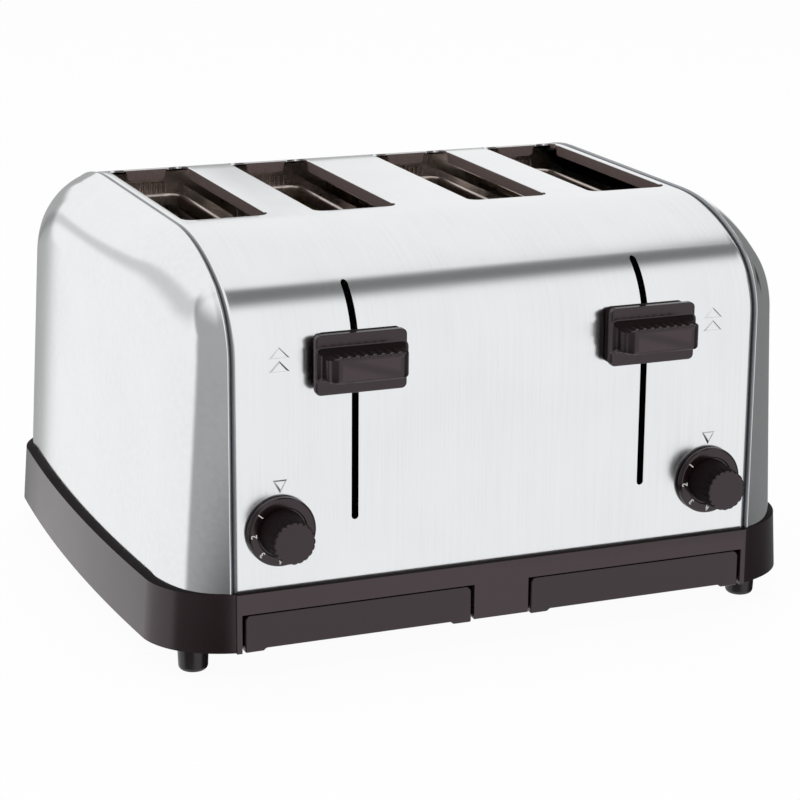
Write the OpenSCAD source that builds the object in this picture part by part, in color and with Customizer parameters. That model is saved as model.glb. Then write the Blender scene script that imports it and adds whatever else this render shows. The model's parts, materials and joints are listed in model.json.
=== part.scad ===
// Four-slice toaster: two lever carriages, two browning dials, two crumb trays.
// Millimetres, +X to the right, +Y to the back, +Z up, ground at z = 0.

/* [Bread slots] */
// Width of one bread slot
slot_w = 42; // [40:0.5:46]
// Length of one bread slot
slot_l = 138; // [130:1:150]
// Bridge between the two slots of a pair
slot_bridge = 24; // [22:0.5:30]
// Bridge between the left and the right pair
pair_bridge = 39; // [36:0.5:46]
// Strip from the outer slot to the end panel seam
slot_edge = 2.5; // [2:0.5:6]
// Distance from the front panel to the slots
slot_front = 85.5; // [84:0.5:95]
// Distance from the slots to the back panel
slot_back = 64.5; // [60:0.5:75]
// Depth of the flange bent down round a slot
slot_flange = 6; // [5:0.5:8]
// Radius of the slot corners
slot_corner_r = 5; // [3:0.5:6]
// Open relief at each flange corner
slot_relief = 7; // [6:0.5:9]

/* [Shell] */
// Height of the shell above the base
shell_h = 156.5; // [150:0.5:170]
// Radius of the tight shoulder bend
shoulder_r = 38; // [37:1:44]
// Radius of the wide crown bend
crown_r = 120; // [105:1:130]
// Angle turned by the shoulder bend
shoulder_turn = 60; // [55:1:65]
// Thickness of the shell sheet
sheet_t = 1; // [0.8:0.1:1.2]
// Height of the pressed marks on the front
mark_h = 0.5; // [0.3:0.1:0.8]
// Width of the pressed marks
mark_w = 10; // [7:0.5:12]

/* [End panels] */
// How far an end panel reaches past the seam
end_reach = 35.5; // [34:0.5:40]
// Rounding of the end panel's edge
end_edge_r = 36; // [30:0.5:36]
// Slope at which the rounding leaves the rim
end_rim_slope = 15; // [10:1:20]
// Draft of the end panel's face
end_draft = 2.6; // [0:0.1:4]
// Bow of the end panel's face, seen from above
end_bow_r = 1400; // [1000:50:2500]
// Distance of the bow's middle behind the middle of the body
end_bow_back = 20; // [0:1:25]
// How far the rolled rim stands proud of the shell
rim_proud = 1.5; // [1:0.1:2.5]
// Depth of the rolled rim
rim_depth = 3.8; // [3:0.1:4.5]

/* [Base] */
// Height of the base moulding
base_h = 28.5; // [27:0.5:34]
// Wall of the base moulding
base_wall = 2.5; // [2:0.1:3]
// Ledge of the base round the end panels
base_ledge = 5; // [3:0.5:6]
// How far the base's sides spread towards their lower edge
base_flare = 2.2; // [1:0.1:3]
// Width of the top flange that carries the shell
base_flange = 14; // [12:0.5:18]
// How far the fascia stands in front of the shell
fascia_lip = 3; // [2.5:0.1:4]
// How far the base corners stand in front of the shell
corner_lip = 1.8; // [1.6:0.1:2.4]
// How far the fascia reaches past the seam
fascia_over = 2; // [1.5:0.5:4]
// Thickness of the bottom plate
bottom_t = 1; // [0.8:0.1:1.5]
// Height of the bottom plate above the lower edge of the base
bottom_rise = 0.5; // [0.3:0.1:1]

/* [Feet] */
// Height of the feet below the base
foot_h = 15; // [12:0.5:22]
// Diameter of a foot
foot_d = 15; // [14:0.5:18]
// Distance of the feet from the front and back panels
foot_inset = 24; // [20:1:40]
// Distance of the feet outside the seam
foot_outset = 15; // [12:1:18]
// Diameter of a foot screw
screw_d = 4; // [3:0.5:5]

/* [Crumb trays] */
// Height of a tray front
tray_front_h = 18; // [17:0.5:19]
// Thickness of a tray front
tray_front_t = 5.5; // [4:0.5:6]
// Gap between the two tray fronts
tray_gap = 31; // [28:1:40]
// Strip from a tray front to the seam
tray_edge = 2; // [1.5:0.5:4]
// Clearance round a tray front
tray_clear = 0.6; // [0.4:0.1:1]
// How far a tray pan is narrower than its front, on each side
tray_shoulder = 3; // [2:0.5:5]
// Length of a tray pan
tray_l = 235; // [200:1:245]
// Height of a tray pan
tray_h = 14; // [10:0.5:14.5]
// Finger step under a tray front
tray_step = 1.2; // [0.8:0.1:1.5]

/* [Levers] */
// Height of a lever above the base
lever_rise = 106; // [104:0.5:110]
// Lever travel down to the latch
lever_drop = 72; // [60:1:72]
// Lever travel up to lift small slices out
lever_lift = 22; // [10:1:22]
// Width of a lever plate
lever_plate_w = 44; // [40:1:50]
// Height of a lever plate
lever_plate_h = 28; // [24:0.5:30]
// Thickness of a lever plate
lever_plate_t = 4; // [3.5:0.5:6]
// Width of the grip at its front
lever_grip_w = 37; // [30:1:38]
// Height of the grip
lever_grip_h = 11.5; // [10:0.5:12]
// How far the grip stands in front of its plate
lever_grip_reach = 12.5; // [10:0.5:14]
// Ribs on top of the grip
lever_ribs = 8; // [5:1:9]
// Width of a lever stem
stem_w = 2.6; // [2:0.1:3]
// Height of a lever stem
stem_h = 8; // [6:0.5:9]
// Clearance of a stem in its slot, on each side
stem_clear = 0.4; // [0.3:0.1:0.6]

/* [Browning knobs] */
// Diameter of the dial
dial_d = 33; // [30:0.5:36]
// Thickness of the dial
dial_t = 3; // [2.8:0.1:4]
// Gap between the dial and the front panel
dial_gap = 0.8; // [0.5:0.1:1]
// Diameter of the knob's barrel
barrel_d = 21.5; // [18:0.5:23]
// Length of the knob's barrel
barrel_l = 16.8; // [14:0.2:20]
// Flutes round the barrel
barrel_flutes = 20; // [12:1:24]
// Distance of a knob in from the seam
knob_inset = 20; // [19:0.5:24]
// Height of a knob above the base
knob_rise = 28; // [27:0.5:34]
// Diameter of a knob shaft
shaft_d = 6; // [5:0.5:6]

/* [Oven] */
// Thickness of the oven's plates
plate_t = 1; // [0.8:0.1:1.5]
// Room between the slots and the oven's front and rear plates
oven_gap = 12.5; // [10:0.5:14]
// Depth of the chute plates below the top
chute_drop = 15; // [14.5:0.5:30]
// Width of a chute opening
chute_w = 31; // [28:0.5:33]
// Length of a chute opening
chute_l = 128; // [120:1:130]
// Depth of the lip round a chute opening
chute_lip = 5; // [3:0.5:6]
// Distance of a bread guard from the middle of its slot
guard_x = 16; // [15.5:0.1:17]
// Thickness of a guard wire
guard_wire = 2; // [1.6:0.1:2.4]
// Spacing of the guard wires
guard_pitch = 14; // [10:0.5:20]
// Distance of a heater board from the middle of its slot
heater_x = 27; // [24:0.5:28]
// Thickness of a heater board
heater_t = 1; // [0.8:0.1:1.5]
// Width of the heating ribbon
ribbon_w = 2.4; // [1.5:0.1:3]
// Thickness of the heating ribbon
ribbon_t = 0.5; // [0.3:0.1:0.8]
// Spacing of the heating ribbon's runs
ribbon_pitch = 8; // [6:0.5:12]
// Width of a bread rack
rack_w = 24; // [18:0.5:26]
// Spacing of the rack's fingers
rack_pitch = 14; // [10:0.5:20]

/* [Mechanism] */
// Diameter of a guide rod
rod_d = 6; // [5:0.5:7]
// Radial clearance of a bush on its rod
rod_clear = 0.06; // [0.03:0.01:0.1]
// Distance of the guide rods from the front panel
rod_depth = 38; // [34:0.5:42]
// Sideways distance of a guide rod from its stem
rod_offset = 12; // [11:0.5:14]
// Side of the square bush block
bush_w = 15; // [13:0.5:16]
// Height of the bush block
bush_h = 24; // [18:0.5:26]
// Mean diameter of a return spring
spring_d = 7; // [6:0.2:8]
// Wire diameter of a return spring
spring_wire = 1; // [0.8:0.1:1.2]
// Turns of a return spring
spring_turns = 9; // [7:1:11]
// Side of the square latch keeper
keeper_w = 15; // [12:0.5:16]
// Thickness of the latch keeper
keeper_t = 3; // [2:0.5:4]
// Width of a control board
board_w = 38; // [30:1:40]
// Thickness of a control board
board_t = 1.6; // [1:0.1:2]
// Height of a board over the knob's axis
board_over = 24; // [18:1:28]
// Distance of the control boards from the front panel
board_depth = 16; // [14:0.5:20]
// Diameter of a potentiometer
pot_d = 16; // [14:0.5:20]
// Length of a potentiometer
pot_l = 8; // [7:0.5:10]

/* [Mains inlet] */
// Bore of the cord gland
gland_bore_d = 8; // [6:0.5:9]
// Diameter of the gland's neck
gland_neck_d = 15; // [13:0.5:18]
// Diameter of the gland's flange
gland_flange_d = 24; // [21:0.5:28]
// Thickness of the gland's flange
gland_flange_t = 2.5; // [2:0.1:3]
// Distance of the gland to the right of the middle
gland_x = 90; // [60:1:110]
// Height of the gland above the base
gland_rise = 20; // [18:0.5:40]

/* [Hidden] */
$fn = 48;

// Clearance between pieces that rest close together
rest_gap = 0.3;
// Overlap that joins the pieces of one moulding
join = 0.4;

// Slot places across the body
inner_x = pair_bridge / 2 + slot_w / 2;
outer_x = inner_x + slot_w + slot_bridge;
slot_xs = [-outer_x, -inner_x, inner_x, outer_x];
pair_x = (inner_x + outer_x) / 2;
seam_x = outer_x + slot_w / 2 + slot_edge;

// Depths, with the outline centred on y = 0
body_d = slot_front + slot_l + slot_back;
knob_reach = dial_gap + dial_t + barrel_l;
lever_gap = dial_gap + dial_t + 2 * stem_clear;
lever_reach = lever_gap + lever_plate_t + lever_grip_reach;
back_reach = max(corner_lip, gland_flange_t);
front_y = (max(knob_reach, lever_reach) - body_d - back_reach) / 2;
back_y = front_y + body_d;
mid_y = (front_y + back_y) / 2;
slot_mid_y = front_y + slot_front + slot_l / 2;
oven_front_y = front_y + slot_front - oven_gap;
oven_rear_y = front_y + slot_front + slot_l + oven_gap;

// Heights
base_z = foot_h + base_h;
top_z = base_z + shell_h;
bottom_z = foot_h + bottom_rise;
tray_z = bottom_z + bottom_t + rest_gap;
notch_z = foot_h + tray_front_h + tray_clear;
floor_t = 1.2;
floor_z = notch_z + 0.9;
floor_top = floor_z + floor_t;

// Profile of the shell: the centres of its two bends
crown_z = top_z - crown_r;
crown_y = shoulder_r + (crown_r - shoulder_r) * cos(shoulder_turn);
shoulder_z = crown_z + (crown_r - shoulder_r) * sin(shoulder_turn);

// Points on a circular arc, ends included
function arc(c, r, a0, a1, n) =
    [for (i = [0:n]) let (a = a0 + (a1 - a0) * i / n) c + r * [cos(a), sin(a)]];
function after_first(p) = [for (i = [1:len(p) - 1]) p[i]];
function reversed(p) = [for (i = [len(p) - 1:-1:0]) p[i]];
function mirrored_y(p) = [for (q = reversed(p)) [2 * mid_y - q[0], q[1]]];
function mirrored_x(p) = [for (q = reversed(p)) [-q[0], q[1]]];

// Front half and whole of the shell's profile in y and z, moved outwards by o
shoulder_steps = 8;
crown_steps = 4;
function half_arch(o) = concat(
    [[front_y - o, base_z]],
    arc([front_y + shoulder_r, shoulder_z], shoulder_r + o, 180, 180 - shoulder_turn, shoulder_steps),
    after_first(arc([front_y + crown_y, crown_z], crown_r + o, 180 - shoulder_turn, 90, crown_steps)));
function arch(o) = concat(half_arch(o), mirrored_y(half_arch(o)));

// Height of the shell's outside at distance d from the nearer panel
function arch_z(d) =
    d >= crown_y ? top_z
    : d >= shoulder_r * (1 - cos(shoulder_turn)) ? crown_z + sqrt(crown_r ^ 2 - (crown_y - d) ^ 2)
    : shoulder_z + sqrt(shoulder_r ^ 2 - (shoulder_r - d) ^ 2);

// Rectangle with round corners, centred, and a slot with round ends
function rounded(w, l, r, n) = concat(
    arc([w / 2 - r, l / 2 - r], r, 0, 90, n), arc([r - w / 2, l / 2 - r], r, 90, 180, n),
    arc([r - w / 2, r - l / 2], r, 180, 270, n), arc([w / 2 - r, r - l / 2], r, 270, 360, n));
function stadium(w, z0, z1, n) = concat(
    arc([0, z1 - w / 2], w / 2, 0, 180, n), arc([0, z0 + w / 2], w / 2, 180, 360, n));

// A band of width w along a path with square corners
function left_of(a, b) = let (d = (b - a) / norm(b - a)) [-d[1], d[0]];
function beside(p, h) = [for (i = [0:len(p) - 1])
    p[i] + h * ((i > 0 ? left_of(p[i - 1], p[i]) : [0, 0])
              + (i < len(p) - 1 ? left_of(p[i], p[i + 1]) : [0, 0]))];
function band(p, w) = concat(beside(p, w / 2), reversed(beside(p, -w / 2)));

// Upright outline in y and z, pushed along x from x0
module along_x(x0, length) translate([x0, 0, 0]) rotate([90, 0, 90]) linear_extrude(length) children();

// Outline in x and z, pushed towards the back from y0
module along_y(y0, length)
    translate([0, y0 + length, 0]) rotate([90, 0, 0]) linear_extrude(length) children();

// Block between two corners
module block(a, b) translate(a) cube(b - a);

// A right-hand piece, or its mirror image on the left
module on_side(s) mirror([s < 0 ? 1 : 0, 0, 0]) children();

// Triangle for a pressed mark on the front, pointing up, or down where h is below 0
module mark(x, z, w, h) translate([x, 0, z]) along_y(front_y - mark_h, shoulder_r)
    polygon([[-w / 2, -h / 2], [w / 2, -h / 2], [0, h / 2]]);

// Lever, knob and gland places shared by the pieces around them
lever_z = base_z + lever_rise;
lever_slot_z0 = lever_z - lever_drop - stem_h / 2 - 1;
lever_slot_z1 = lever_z + lever_lift + stem_h / 2 + 7;
knob_x = seam_x - knob_inset;
knob_z = base_z + knob_rise;
shaft_hole_d = shaft_d + 2;
gland_z = base_z + gland_rise;
pointer_w = 0.7 * mark_w;
pointer_tall = 6.4;
pointer_gap = 4.3;
arrow_tall = 5.2;
arrow_pitch = 6.3;
arrow_lift = 2.5;

// Flanges bent down from the top round one slot, in the slot's own place
module slot_flanges(c) {
    side_l = slot_l - 2 * slot_relief;
    end_w = slot_w - 2 * slot_relief;
    side_top = top_z - 0.6 * sheet_t;
    back_top = min(side_top, arch_z(slot_back) - 0.6 * sheet_t);
    end_taper = slot_relief / 2;
    for (s = [-1, 1]) {
        x = c + s * (slot_w + sheet_t) / 2;
        block([x - sheet_t / 2, slot_mid_y - side_l / 2, top_z - slot_flange],
              [x + sheet_t / 2, slot_mid_y + side_l / 2, side_top]);
    }
    for (e = [[front_y + slot_front - sheet_t, side_top], [front_y + slot_front + slot_l, back_top]])
        translate([c, 0, 0]) along_y(e[0], sheet_t) polygon([
            [-end_w / 2, e[1]], [end_taper - end_w / 2, top_z - slot_flange],
            [end_w / 2 - end_taper, top_z - slot_flange], [end_w / 2, e[1]]]);
}

// Sheet that wraps the front, top and back, and the places where it is divided into four nodes
wrap_front_y = front_y + slot_front - 3 * sheet_t;
wrap_back_y = front_y + slot_front + slot_l + 3 * sheet_t;
module wrap_part(y0, y1, z0, z1) color("#cfd1d2") intersection() {
    wrap_sheet();
    block([-seam_x - 1, y0, z0], [seam_x + 1, y1, z1]);
}
module wrap_sheet() difference() {
    union() {
        along_x(-seam_x, 2 * seam_x) polygon(concat(arch(0), reversed(arch(-sheet_t))));
        for (c = slot_xs) slot_flanges(c);
        intersection() {
            along_x(-seam_x, 2 * seam_x) polygon(concat(arch(mark_h), reversed(arch(-sheet_t / 2))));
            for (s = [-1, 1]) {
                mark(s * knob_x, knob_z + dial_d / 2 + pointer_gap, pointer_w, -pointer_tall);
                for (i = [-0.5, 0.5])
                    mark(s * knob_x, lever_z + arrow_lift + i * arrow_pitch, mark_w, arrow_tall);
            }
        }
    }
    for (c = slot_xs) translate([c, slot_mid_y, top_z - 3 * sheet_t])
        linear_extrude(4 * sheet_t) polygon(rounded(slot_w, slot_l, slot_corner_r, 4));
    for (s = [-1, 1]) {
        translate([s * pair_x, 0, 0]) along_y(front_y - 1, shoulder_r)
            polygon(stadium(stem_w + 2 * stem_clear, lever_slot_z0, lever_slot_z1, 6));
        translate([s * knob_x, front_y + 2 * sheet_t, knob_z])
            rotate([90, 0, 0]) cylinder(h = 4 * sheet_t, d = shaft_hole_d);
    }
    translate([gland_x, back_y + 2 * sheet_t, gland_z])
        rotate([90, 0, 0]) cylinder(h = 4 * sheet_t, d = gland_neck_d + 0.2);
}

// Face of a right-hand end panel, reduced by t
side_x = seam_x + end_reach;
function face_x(y, z, t) =
    side_x - t - (y - mid_y - end_bow_back) ^ 2 / (2 * end_bow_r) - (z - base_z) * tan(end_draft);

// End panel: rings of profile points from the rim to the face, then rows across the face
edge_steps = 8;
row_steps = 8;
half_points = len(half_arch(0));
ring_points = 2 * half_points;

// One ring at rounding angle a, for the outside (t = 0) or the inside of the sheet
function ring(a, t) =
    let (inset = end_edge_r * (cos(end_rim_slope) - cos(a)),
         full = end_edge_r * cos(end_rim_slope),
         share = (sin(a) - sin(end_rim_slope)) / (1 - sin(end_rim_slope)),
         path = arch(rim_proud - t - inset),
         last = arch(rim_proud - t - full))
    [for (i = [0:ring_points - 1])
        [seam_x + share * (face_x(last[i][0], last[i][1], t) - seam_x), path[i][0], path[i][1]]];
function flat_ring(x, o) = [for (p = arch(o)) [x, p[0], p[1]]];

// Angle at which the inside of the sheet leaves the rolled rim
rim_angle = acos(cos(end_rim_slope) - (rim_depth - sheet_t) / end_edge_r);
function edge_angle(a0, j) = a0 + (90 - a0) * j / edge_steps;

// All points of one side of the sheet
function panel_skin(rings, t) = let (last = rings[len(rings) - 1]) concat(
    [for (r = rings) each r],
    [for (i = [0:half_points - 1]) for (k = [1:row_steps - 1])
        let (a = last[i], b = last[ring_points - 1 - i], y = a[1] + (b[1] - a[1]) * k / row_steps)
        [face_x(y, a[2], t), y, a[2]]]);
outer_rings = concat([flat_ring(seam_x, rim_proud)],
    [for (j = [1:edge_steps]) ring(edge_angle(end_rim_slope, j), 0)]);
inner_rings = concat([flat_ring(seam_x, rim_proud - rim_depth)],
    [for (j = [1:edge_steps]) ring(edge_angle(rim_angle, j), sheet_t)]);
skin_size = ring_points * (edge_steps + 1) + half_points * (row_steps - 1);

// Index of a point on ring j, and of a point on row i across the face
function on_ring(j, i) = j * ring_points + i;
function on_row(i, k) =
    k == 0 ? on_ring(edge_steps, i)
    : k == row_steps ? on_ring(edge_steps, ring_points - 1 - i)
    : ring_points * (edge_steps + 1) + i * (row_steps - 1) + k - 1;
function quad(a, b, c, d) = [[a, b, c], [a, c, d]];
ridge = half_points - 1;
skin_faces = concat(
    [for (j = [0:edge_steps - 1]) for (i = [0:ring_points - 2]) if (j < edge_steps - 1 || i != ridge)
        each quad(on_ring(j, i), on_ring(j, i + 1), on_ring(j + 1, i + 1), on_ring(j + 1, i))],
    [[on_ring(edge_steps - 1, ridge), on_ring(edge_steps - 1, ridge + 1), on_row(ridge, row_steps)]],
    [for (k = [0:row_steps - 1]) [on_ring(edge_steps - 1, ridge), on_row(ridge, k + 1), on_row(ridge, k)]],
    [for (i = [0:half_points - 2]) for (k = [0:row_steps - 1])
        each quad(on_row(i, k), on_row(i + 1, k), on_row(i + 1, k + 1), on_row(i, k + 1))]);

// Lower edge of the sheet, from the front rim round to the back rim
lower_edge = concat([for (j = [0:edge_steps]) on_ring(j, 0)], [for (k = [1:row_steps]) on_row(0, k)],
    [for (j = [edge_steps - 1:-1:0]) on_ring(j, ring_points - 1)]);
function shifted(f, n) = [for (t = f) [t[2] + n, t[1] + n, t[0] + n]];
panel_faces = concat(skin_faces, shifted(skin_faces, skin_size),
    [for (i = [0:ring_points - 2])
        each quad(i + 1, i, i + skin_size, i + 1 + skin_size)],
    [for (m = [0:len(lower_edge) - 2]) let (a = lower_edge[m], b = lower_edge[m + 1])
        each quad(a, b, b + skin_size, a + skin_size)]);
module end_panel(s) color("#d5d7d8") on_side(s)
    polyhedron(concat(panel_skin(outer_rings, 0), panel_skin(inner_rings, sheet_t)),
               panel_faces);

// Plan of the base, moved outwards by o: bowed sides, round corners, straight front and back.
// At height z the sides stand out further by the flare.
plan_steps = 10;
bow_steps = 8;
function flare(z) = base_flare * (base_z - z) / base_h;
function half_depth(o) = body_d / 2 + corner_lip + o;
function half_side(o) = half_depth(o) - (end_edge_r + o) * cos(end_rim_slope);
function base_x(y, o, z) =
    let (a = acos(max(0, cos(end_rim_slope) - (half_depth(o) - abs(y - mid_y)) / (end_edge_r + o))),
         share = (sin(a) - sin(end_rim_slope)) / (1 - sin(end_rim_slope)),
         side_y = mid_y + max(-half_side(o), min(half_side(o), y - mid_y)))
    seam_x + share * (face_x(side_y, base_z, 0) + base_ledge + flare(z) + o - seam_x);
function corner_ys(o) = [for (j = [0:plan_steps])
    let (a = end_rim_slope + (90 - end_rim_slope) * j / plan_steps)
    half_depth(o) - (end_edge_r + o) * (cos(end_rim_slope) - cos(a))];
function base_ys(o) = concat(
    [for (d = corner_ys(o)) mid_y - d],
    [for (k = [1:bow_steps - 1]) mid_y + half_side(o) * (2 * k / bow_steps - 1)],
    [for (d = reversed(corner_ys(o))) mid_y + d]);
function base_right(o, z) = [for (y = base_ys(o)) [base_x(y, o, z), y]];
function base_plan(o, z) = concat(base_right(o, z), mirrored_x(base_right(o, z)));

// Solid of the base's plan between two heights, with the flare of its sides
module flared(o, z0, z1) {
    n = len(base_plan(o, z0));
    polyhedron(
        [for (z = [z0, z1]) for (p = base_plan(o, z)) [p[0], p[1], z]],
        concat([[for (i = [0:n - 1]) i], [for (i = [n - 1:-1:0]) i + n]],
               [for (i = [0:n - 1]) each quad(i, i + n, (i + 1) % n + n, (i + 1) % n)]));
}

// Places of the four feet and of the posts above them
foot_x = seam_x + foot_outset;
foot_places = [for (x = [-foot_x, foot_x]) for (y = [front_y + foot_inset, back_y - foot_inset]) [x, y]];
screw_hole_d = screw_d + 0.2;
post_d = screw_d + 8;
post_rib_t = 3;

// Tray fronts: their middle and width
tray_x = (tray_gap / 2 + seam_x - tray_edge) / 2;
tray_front_w = seam_x - tray_edge - tray_gap / 2;
tray_front_y = front_y - fascia_lip;

// Base moulding: skirt, top flange, front fascia with two tray openings, four posts
module base_skirt() color("#3d3537") difference() {
    union() {
        difference() {
            union() {
                flared(0, foot_h, base_z);
                block([-seam_x - fascia_over, tray_front_y, foot_h],
                      [seam_x + fascia_over, front_y, base_z]);
            }
            flared(-base_wall, foot_h - 1, base_z - base_wall);
            linear_extrude(base_z + 1) polygon(base_plan(-base_flange, base_z));
        }
        for (p = foot_places) {
            translate([p[0], p[1], bottom_z + bottom_t])
                cylinder(h = floor_z - bottom_z - bottom_t, d = post_d);
            on_side(p[0]) block(
                [foot_x + screw_d, p[1] - post_rib_t / 2, bottom_z + bottom_t],
                [base_x(p[1], 0, base_z), p[1] + post_rib_t / 2, floor_z]);
        }
    }
    for (s = [-1, 1]) block(
        [s * tray_x - tray_front_w / 2 - tray_clear, tray_front_y - 1, foot_h - 1],
        [s * tray_x + tray_front_w / 2 + tray_clear, front_y + base_wall + 1, notch_z]);
    block([-tray_gap / 2, tray_front_y - 1, foot_h - 1],
          [tray_gap / 2, front_y + base_wall + 1, foot_h + tray_step]);
    for (p = foot_places) translate([p[0], p[1], foot_h]) cylinder(h = base_h, d = screw_hole_d);
}

// Plate that closes the underside behind the tray fronts
module bottom_plate() color("#9a9c9e") difference() {
    translate([0, 0, bottom_z]) linear_extrude(bottom_t)
        polygon(base_plan(-base_wall - rest_gap, bottom_z + bottom_t));
    block([-seam_x - 1, front_y - 10, bottom_z - 1],
          [seam_x + 1, tray_front_y + tray_front_t + 2 * rest_gap, bottom_z + bottom_t + 1]);
    for (p = foot_places) translate([p[0], p[1], bottom_z - 1]) cylinder(h = bottom_t + 2, d = screw_hole_d);
    for (s = [-1, 1]) for (i = [-3:3]) block(
        [s * tray_x - tray_front_w / 4, mid_y + 12 * i - 2, bottom_z - 1],
        [s * tray_x + tray_front_w / 4, mid_y + 12 * i + 2, bottom_z + bottom_t + 1]);
}

// Chassis floor on the posts, open under the ovens so that crumbs fall through
floor_hole_x0 = inner_x - rack_w / 2 - 8;
floor_hole_x1 = outer_x + rack_w / 2 + 8;
floor_hole_edge = 4;
module chassis_floor() color("#a9acae") difference() {
    translate([0, 0, floor_z]) linear_extrude(floor_t)
        polygon(base_plan(-base_wall - 2 * rest_gap, floor_top));
    for (s = [-1, 1]) on_side(s) block(
        [floor_hole_x0, oven_front_y + floor_hole_edge, floor_z - 1],
        [floor_hole_x1, oven_rear_y - floor_hole_edge, floor_top + 1]);
}

// Rubber feet, hollowed for their screws
foot_head_z = 6;
foot_chamfer = 2;
foot_taper = 0.5;
module feet() color("#2a2627") for (p = foot_places) translate([p[0], p[1], 0]) rotate_extrude()
    polygon([
        [screw_d, 0], [foot_d / 2 - foot_taper - foot_chamfer, 0], [foot_d / 2 - foot_taper, foot_chamfer],
        [foot_d / 2, bottom_z], [screw_hole_d / 2, bottom_z], [screw_hole_d / 2, foot_head_z],
        [screw_d, foot_head_z]]);

// Screws up through the feet into the posts
module foot_screws() color("#8d8f92") for (p = foot_places) translate([p[0], p[1], 0]) rotate_extrude()
    polygon([
        [0, foot_head_z - screw_d / 2], [screw_d * 0.9, foot_head_z - screw_d / 2],
        [screw_d * 0.9, foot_head_z], [screw_d / 2, foot_head_z], [screw_d / 2, floor_z - 2],
        [0, floor_z - 2]]);

// Carriage heights at rest: the bar sits lever_drop above its lowest place
bar_h = 8;
bar_t = 4;
floor_room = 2.8;
bar_z = floor_top + lever_drop + floor_room;
rack_z = bar_z + bar_h;
arm_w = 4;
arm_clear = 1;
rod_y = front_y + rod_depth;
rod_x = pair_x + rod_offset;
bush_top = bar_z + bush_h;
bar_y = oven_front_y - plate_t - 22;
tab_z = bush_top + lever_lift + 8;
spring_x = rod_x + bush_w / 2 + spring_d;
lug_h = 4;
lug_z = bar_z + 12;
lug_half = spring_d / 2 + 1;

// Oven end walls: half width and tops below the shell
shield_x = outer_x + heater_x + 6;
wall_gap = 0.7;
wall_shoulder = 12;
front_wall_top = arch_z(oven_front_y - plate_t - front_y) - sheet_t - wall_gap;
rear_wall_top = arch_z(back_y - oven_rear_y - plate_t) - sheet_t - wall_gap;

function wall_outline(top) = let (w = shield_x + plate_t / 2, n = seam_x - slot_edge) [
    [-w, floor_top], [w, floor_top], [w, top - wall_shoulder],
    [n, top], [-n, top], [-w, top - wall_shoulder]];

// Front wall of the oven, slotted for the carriage arms, with a tab over each rod and spring
module oven_front_plate() color("#b4b7b9") {
    difference() {
        along_y(oven_front_y - plate_t, plate_t) polygon(wall_outline(front_wall_top));
        for (c = slot_xs) block(
            [c - arm_w / 2 - arm_clear, oven_front_y - 2 * plate_t, floor_top - 1],
            [c + arm_w / 2 + arm_clear, oven_front_y + plate_t, rack_z + lever_lift + arm_clear]);
    }
    for (s = [-1, 1]) on_side(s) block(
        [rod_x - bush_w / 2, rod_y - bush_w / 2, tab_z],
        [spring_x + lug_half, oven_front_y - plate_t + join, tab_z + plate_t]);
}

// Rear wall of the oven, slotted for the rack tongues
module oven_rear_plate() color("#b4b7b9") difference() {
    along_y(oven_rear_y, plate_t) polygon(wall_outline(rear_wall_top));
    for (c = slot_xs) block(
        [c - arm_w / 2 - arm_clear, oven_rear_y - plate_t, floor_top - 1],
        [c + arm_w / 2 + arm_clear, oven_rear_y + 2 * plate_t, rack_z + lever_lift + arm_clear]);
}

// Shields at the ends and in the middle of the oven
module shield(x) color("#b9bbbd")
    block([x - plate_t / 2, oven_front_y, floor_top],
          [x + plate_t / 2, oven_rear_y, min(front_wall_top, rear_wall_top) - wall_shoulder]);

// Plate under two slots whose openings have lips turned down
chute_z = top_z - chute_drop;
chute_r = 8;
module slot_chute(s) color("#9b9da0") on_side(s) difference() {
    union() {
        block([plate_t / 2, oven_front_y, chute_z - plate_t],
              [shield_x - plate_t / 2, oven_rear_y, chute_z]);
        for (c = [inner_x, outer_x]) translate([c, slot_mid_y, chute_z - chute_lip])
            linear_extrude(chute_lip - join)
                polygon(rounded(chute_w + 2 * plate_t, chute_l + 2 * plate_t, chute_r + plate_t, 5));
    }
    for (c = [inner_x, outer_x]) translate([c, slot_mid_y, chute_z - chute_lip - 1])
        linear_extrude(chute_lip + 2) polygon(rounded(chute_w, chute_l, chute_r, 5));
}

// Heater boards stand between the oven walls; their ribbons run to and fro on the bread side
heater_z0 = floor_top + 10;
heater_z1 = chute_z - chute_lip - 3;
ribbon_end = 6;
module heater(x) color("#d9cfae")
    block([x - heater_t / 2, oven_front_y, heater_z0], [x + heater_t / 2, oven_rear_y, heater_z1]);

ribbon_runs = floor((heater_z1 - heater_z0 - 2 * ribbon_end) / ribbon_pitch) + 1;
function ribbon_path() = [for (i = [0:ribbon_runs - 1]) for (e = [0, 1])
    let (far = (i + e) % 2 == 1)
    [far ? oven_rear_y - ribbon_end : oven_front_y + ribbon_end, heater_z0 + ribbon_end + i * ribbon_pitch]];
module ribbon(x) along_x(x, ribbon_t) polygon(band(ribbon_path(), ribbon_w));
module heater_ribbons() color("#8a7a6c") for (s = [-1, 1]) on_side(s) {
    ribbon(inner_x - heater_x + heater_t / 2);
    ribbon(pair_x - heater_t / 2 - ribbon_t);
    ribbon(pair_x + heater_t / 2);
    ribbon(outer_x + heater_x - heater_t / 2 - ribbon_t);
}

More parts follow.
